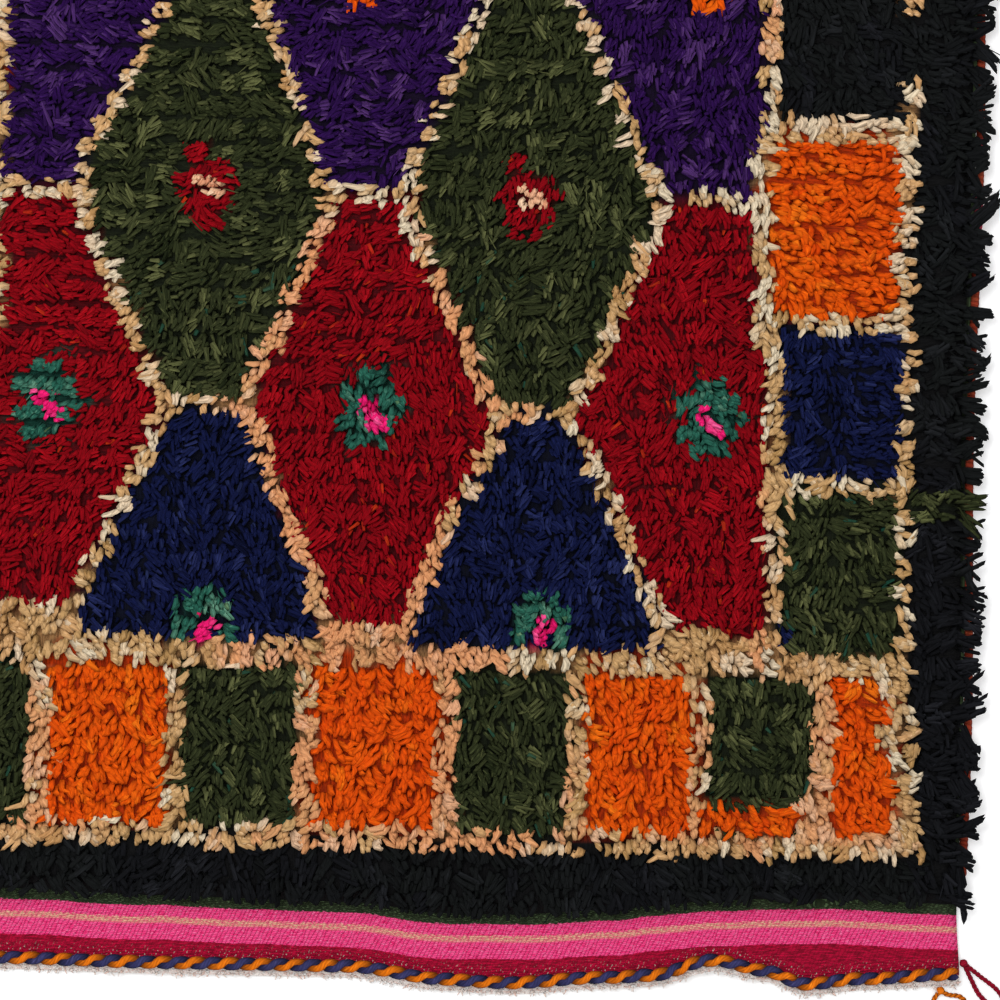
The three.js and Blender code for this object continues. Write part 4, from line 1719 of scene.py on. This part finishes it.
@dataclass
class Selvage:
    """The yarn overcast down one long side."""

    shape: RugShape
    side: Side
    width: float = 7.0
    height: float = 4.0
    above: float = 0.2
    tuck: float = 0.3       # how far it laps over the cloth's side
    end_short: float = 18.0
    wrap: float = 4.2
    stations: int = 680

    # groove sets painted shade in the grooves between the wraps
    FINISH = WoolFinish("selvage_wool", srgb(108, 34, 22), srgb(158, 58, 38), srgb(190, 90, 60),
                        srgb(206, 70, 96), twist=1.5, plies=0.5, groove=0.55, root=0.0)

    def build(self, material: bpy.types.Material) -> bpy.types.Object:
        """Makes the wrapped edge: an oval tube that swells at each wrap.

        Args:
            material: its finish.

        Returns:
            The piece.
        """
        name, sign, shape = self.side.label, self.side.value, self.shape
        near, far = (float(shape.pile_edge(end, sign * shape.width / 2)) for end in End)
        low, high = near + self.end_short, far - self.end_short
        y = np.linspace(low, high, self.stations)
        x = sign * (shape.side_edge(sign, y) + self.width / 2 - self.tuck)
        swell = 0.86 + 0.14 * np.abs(np.sin(np.pi * (y - low) / self.wrap))
        path = np.stack([x, y, np.full(y.shape, self.height / 2 + self.above)], axis=1)
        oval = tube(path, self.width / 2 * swell, 6, flat=self.height / self.width)
        wraps = np.floor(oval.values["section"][:, 2] / self.wrap)
        odd = wander(82 + sign, wraps * 20.0, 100.0) > 0.72
        oval.carry(tone=0.5 + 0.32 * wander(81, wraps * 30.0, 30.0), tint=odd * 0.8, root=0.0)
        piece = oval.build(f"selvage_{name}_yarn", material, "selvage_wool")
        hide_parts(f"selvage_{name}")
        return piece


def rounded_path(points: Array, count: int) -> Array:
    """A Catmull-Rom curve through points, whose tangent at each is half the chord past it.

    Args:
        points: the points that it passes.
        count: stations along it.

    Returns:
        count by 3.
    """
    held = np.concatenate([2 * points[:1] - points[1:2], points, 2 * points[-1:] - points[-2:-1]])
    t = np.linspace(0, len(points) - 1 - 1e-9, count)
    i = t.astype(int)
    u = (t - i)[:, None]
    a, b, c, d = held[i], held[i + 1], held[i + 2], held[i + 3]
    return 0.5 * (2 * b + (c - a) * u + (2 * a - 5 * b + 4 * c - d) * u**2
                  + (3 * b - a - 3 * c + d) * u**3)


@dataclass(frozen=True)
class LooseKind:
    """Loose yarns at a corner: steps outwards from the cloth's side and from the hem's edge."""

    name: str
    slot: str
    knot: tuple[float, float]
    yarns: tuple[tuple[tuple[float, float], ...], ...]


WEFT_ENDS = LooseKind(
    "weft_ends", "weft_wool", (3.6, -17.0),
    (((15, -8), (30, 4), (37, 18)), ((10, -3), (15, 6), (23, 14))),
)
CORD_ENDS = LooseKind(
    "cord_ends", "cord_wool", (-14.0, 3.6),
    (((-19, 11), (-20, 18), (-24, 26)), ((-8, 7), (0, 8), (6, 12))),
)


@dataclass
class LooseYarns:
    """Two loose two-ply yarns and the knot that they leave, at one corner."""

    shape: RugShape
    kind: LooseKind
    end: End
    side: Side
    thick: float = 3.6
    above: float = 0.4
    knot_radius: float = 3.1
    stations: int = 44

    # groove sets painted shade in the grooves between the plies
    WEFT = WoolFinish("weft_wool", srgb(96, 4, 22), srgb(150, 14, 40), srgb(184, 36, 62),
                      srgb(200, 60, 90), twist=0.9, groove=0.5, root=0.0)
    FRAY = np.array([0.8, 0.6, 0.45, 0.3, 0.15])    # radius of a fibre at a yarn's tip
    FRAY_FALL = -0.12

    def _place(self, across: float, outwards: float) -> tuple[float, float]:
        """Where a point of this corner is.

        Args:
            across: steps outwards from the side.
            outwards: steps outwards from the hem.

        Returns:
            x and y.
        """
        sign = self.side.value
        at = sign * (self.shape.width / 2 + self.shape.end_flare + across)
        y = float(self.shape.hem_edge(self.end, at)) + self.end.value * outwards
        return sign * (float(self.shape.side_edge(sign, y)) + across), y

    def build(self, material: bpy.types.Material) -> bpy.types.Object:
        """Makes the knot and the yarns: each yarn two plies twisted round a rounded path.

        Args:
            material: the yarn's finish.

        Returns:
            The piece.
        """
        winding = TwoPly(self.thick * 0.29, self.thick * 0.235, 7.0, 6)
        knot = self._place(*self.kind.knot)
        parts = [self._ball(np.array([*knot, self.knot_radius + 0.3]))]
        for k, steps in enumerate(self.kind.yarns):
            points = [knot, *(self._place(*step) for step in steps)]
            points = [(*point, self.thick / 2 + self.above) for point in points]
            path = rounded_path(np.array(points), self.stations)
            parts += winding.wind(path, k * 1.7)
            parts += self._frays(path, k)
        name = f"{self.kind.name}_{self.end.label}_{self.side.label}"
        piece = Surface.joined(parts).build(f"{name}_yarn", material, self.kind.slot)
        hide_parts(name)
        return piece

    def _frays(self, path: Array, seed: int) -> list[Surface]:
        """The opened tip of a yarn: a few fine fibres that spread from its last stations.

        Args:
            path: the yarn's path.
            seed: for the lengths of the fibres.

        Returns:
            The fibres.
        """
        rng = np.random.default_rng(90 + seed)
        heading = math.atan2(*(path[-1] - path[-4])[[1, 0]])
        frays = []
        for spread in (-0.5, -0.15, 0.2, 0.55):
            s = np.linspace(0, 1, len(self.FRAY))[:, None]
            angle = heading + spread * s
            step = np.concatenate([np.cos(angle), np.sin(angle), self.FRAY_FALL + 0 * angle], axis=1)
            fray = tube(path[-2] + step * s * rng.uniform(3.0, 5.5), self.FRAY, 4)
            frays.append(fray.carry(tone=0.6, tint=0.0, root=0.0))
        return frays

    def _ball(self, middle: Array) -> Surface:
        """The knot: a short fat tube whose radius follows a half circle.

        Args:
            middle: of the knot.

        Returns:
            The knot.
        """
        s = np.linspace(-0.92, 0.92, 9)
        heading = np.array([0.8, 0.6 * self.end.value, 0.0])
        path = middle + heading * (s * self.knot_radius)[:, None]
        ball = tube(path, self.knot_radius * np.sqrt(1 - s**2), 8)
        return ball.carry(tone=0.5, tint=0.0, root=0.0)


@dataclass
class HemFuzz:
    """Short fibres along a hem, outside the cord, where the folded warps fray."""

    shape: RugShape
    end: End
    count: int = 900
    end_gap: float = 2.0
    sunk: float = 0.9       # how far under the cloth's top the fibres are rooted

    CUT = Cut((0.4, 0.85), (1.0, 0.6))
    FINISH = WoolFinish("hem_wool", srgb(244, 222, 208), srgb(252, 238, 230), srgb(255, 250, 246),
                        srgb(240, 190, 172), groove=0.0, root=0.0, fibre=0.1, sheen=0.4,
                        softness=0.8, edge=0.0)

    def build(self, material: bpy.types.Material) -> bpy.types.Object:
        """Makes the fibres: thin spindles rooted near the edge and leaning out over it.

        Args:
            material: their finish.

        Returns:
            The piece.
        """
        shape, sign = self.shape, self.end.value
        rng = np.random.default_rng(101 + sign)
        half = shape.width / 2 + shape.end_flare - self.end_gap
        x = rng.uniform(-half, half, self.count)
        y = shape.hem_edge(self.end, x) - sign * rng.uniform(-0.2, 5.0, self.count)
        z = shape.lift(x, y) + shape.thick - self.sunk
        fibres = Strands(
            root=np.stack([x, y, z], axis=1),
            azimuth=sign * np.pi / 2 + rng.normal(0, 0.95, self.count),
            reach=rng.uniform(1.2, 3.4, self.count),
            rise=rng.uniform(0.3, 1.8, self.count),
            curl=rng.normal(0, 0.7, self.count),
            bow=rng.normal(0, 0.2, self.count),
            radius=rng.uniform(0.5, 1.15, self.count),
            tone=rng.uniform(0.1, 1.0, self.count),
            tint=(rng.uniform(0, 1, self.count) < 0.2).astype(float) * 0.6,
        )
        return fibres.surface(self.CUT).build(f"hem_fuzz_{self.end.label}", material, "hem_wool")


# ---------- the studio ----------


@dataclass
class Studio:
    """A plain pale floor, soft daylight from above and to the left, and the camera."""

    target: tuple[float, float, float] = (0.095, -0.230, 0.014)
    covered: float = 0.75
    height: float = 3.0
    roll_deg: float = 1.25
    sensor: float = 36.0
    sky: float = 0.76
    key: float = 34.0
    key_size: float = 1.6
    key_at: tuple[float, float, float] = (-0.9, 0.75, 2.5)
    floor_half: float = 4.0
    floor_color: Color = (0.93, 0.93, 0.935)
    floor_glow: float = 0.29

    WHITE = (1.0, 1.0, 1.0)

    def build(self) -> None:
        """Makes the floor, the lights and the camera."""
        self._floor()
        self._lights()
        self._camera()

    def _floor(self) -> None:
        """A white floor, wider than any view."""
        s = self.floor_half
        mesh = bpy.data.meshes.new("floor")
        mesh.from_pydata([(-s, -s, 0), (s, -s, 0), (s, s, 0), (-s, s, 0)], [], [(0, 1, 2, 3)])
        floor = bpy.data.objects.new("floor", mesh)
        bpy.context.scene.collection.objects.link(floor)
        mesh.materials.append(MaterialTree("floor_paper").shade(
            Base_Color=self.floor_color,
            Roughness=0.9,
            Emission_Color=self.WHITE,
            Emission_Strength=self.floor_glow,
        ))

    def _lights(self) -> None:
        """An even pale sky and one large soft light from the upper left."""
        world = bpy.data.worlds.new("studio_sky")
        bpy.context.scene.world = world
        world.use_nodes = True
        sky = world.node_tree.nodes["Background"]
        sky.inputs["Color"].default_value = (*self.WHITE, 1.0)
        sky.inputs["Strength"].default_value = self.sky
        light = bpy.data.lights.new("window", "AREA")
        light.shape = "DISK"
        light.size = self.key_size
        light.energy = self.key
        lamp = bpy.data.objects.new("window", light)
        lamp.location = self.key_at
        aim = np.array(self.target) - np.array(lamp.location)
        tilt = math.atan2(math.hypot(aim[0], aim[1]), -aim[2])
        lamp.rotation_euler = (tilt, 0.0, math.atan2(aim[1], aim[0]) - math.pi / 2)
        bpy.context.scene.collection.objects.link(lamp)

    def _camera(self) -> None:
        """A camera straight over the rug's near right quarter, turned a little."""
        data = bpy.data.cameras.new("camera")
        data.sensor_width = self.sensor
        data.lens = self.sensor * self.height / self.covered
        camera = bpy.data.objects.new("camera", data)
        x, y, z = self.target
        camera.location = (x, y, z + self.height)
        camera.rotation_euler = (0.0, 0.0, math.radians(self.roll_deg))
        bpy.context.scene.collection.objects.link(camera)
        bpy.context.scene.camera = camera
        bpy.context.scene.view_settings.view_transform = "Standard"


def main() -> None:
    """Builds the rug piece by piece, logs how many pieces there are, then builds the studio."""
    logging.basicConfig(level=logging.INFO, format="%(name)s: %(message)s")
    wool = yarn_group()
    weave = weave_group()

    cloth = GroundCloth(SHAPE).build(weave)
    pile = KnottedPile(SHAPE, Pattern(), Lie()).build(wool)

    cord_materials = (EndCord.ORANGE.material(wool), EndCord.NAVY.material(wool))
    weft_material = LooseYarns.WEFT.material(wool)
    hem_material = HemFuzz.FINISH.material(wool)
    selvage_material = Selvage.FINISH.material(wool)
    trims = []
    for end in End:
        trims += EndCord(SHAPE, end).build(cord_materials)
        trims.append(HemFuzz(SHAPE, end).build(hem_material))
        for side in Side:
            trims.append(LooseYarns(SHAPE, WEFT_ENDS, end, side).build(weft_material))
            trims.append(LooseYarns(SHAPE, CORD_ENDS, end, side).build(cord_materials[0]))
    for side in Side:
        trims.append(Selvage(SHAPE, side).build(selvage_material))

    pile + trims
    LOG.info("%d pieces", 1 + len(pile) + len(trims))
    Studio().build()
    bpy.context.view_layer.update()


if __name__ == "__main__":
    main()
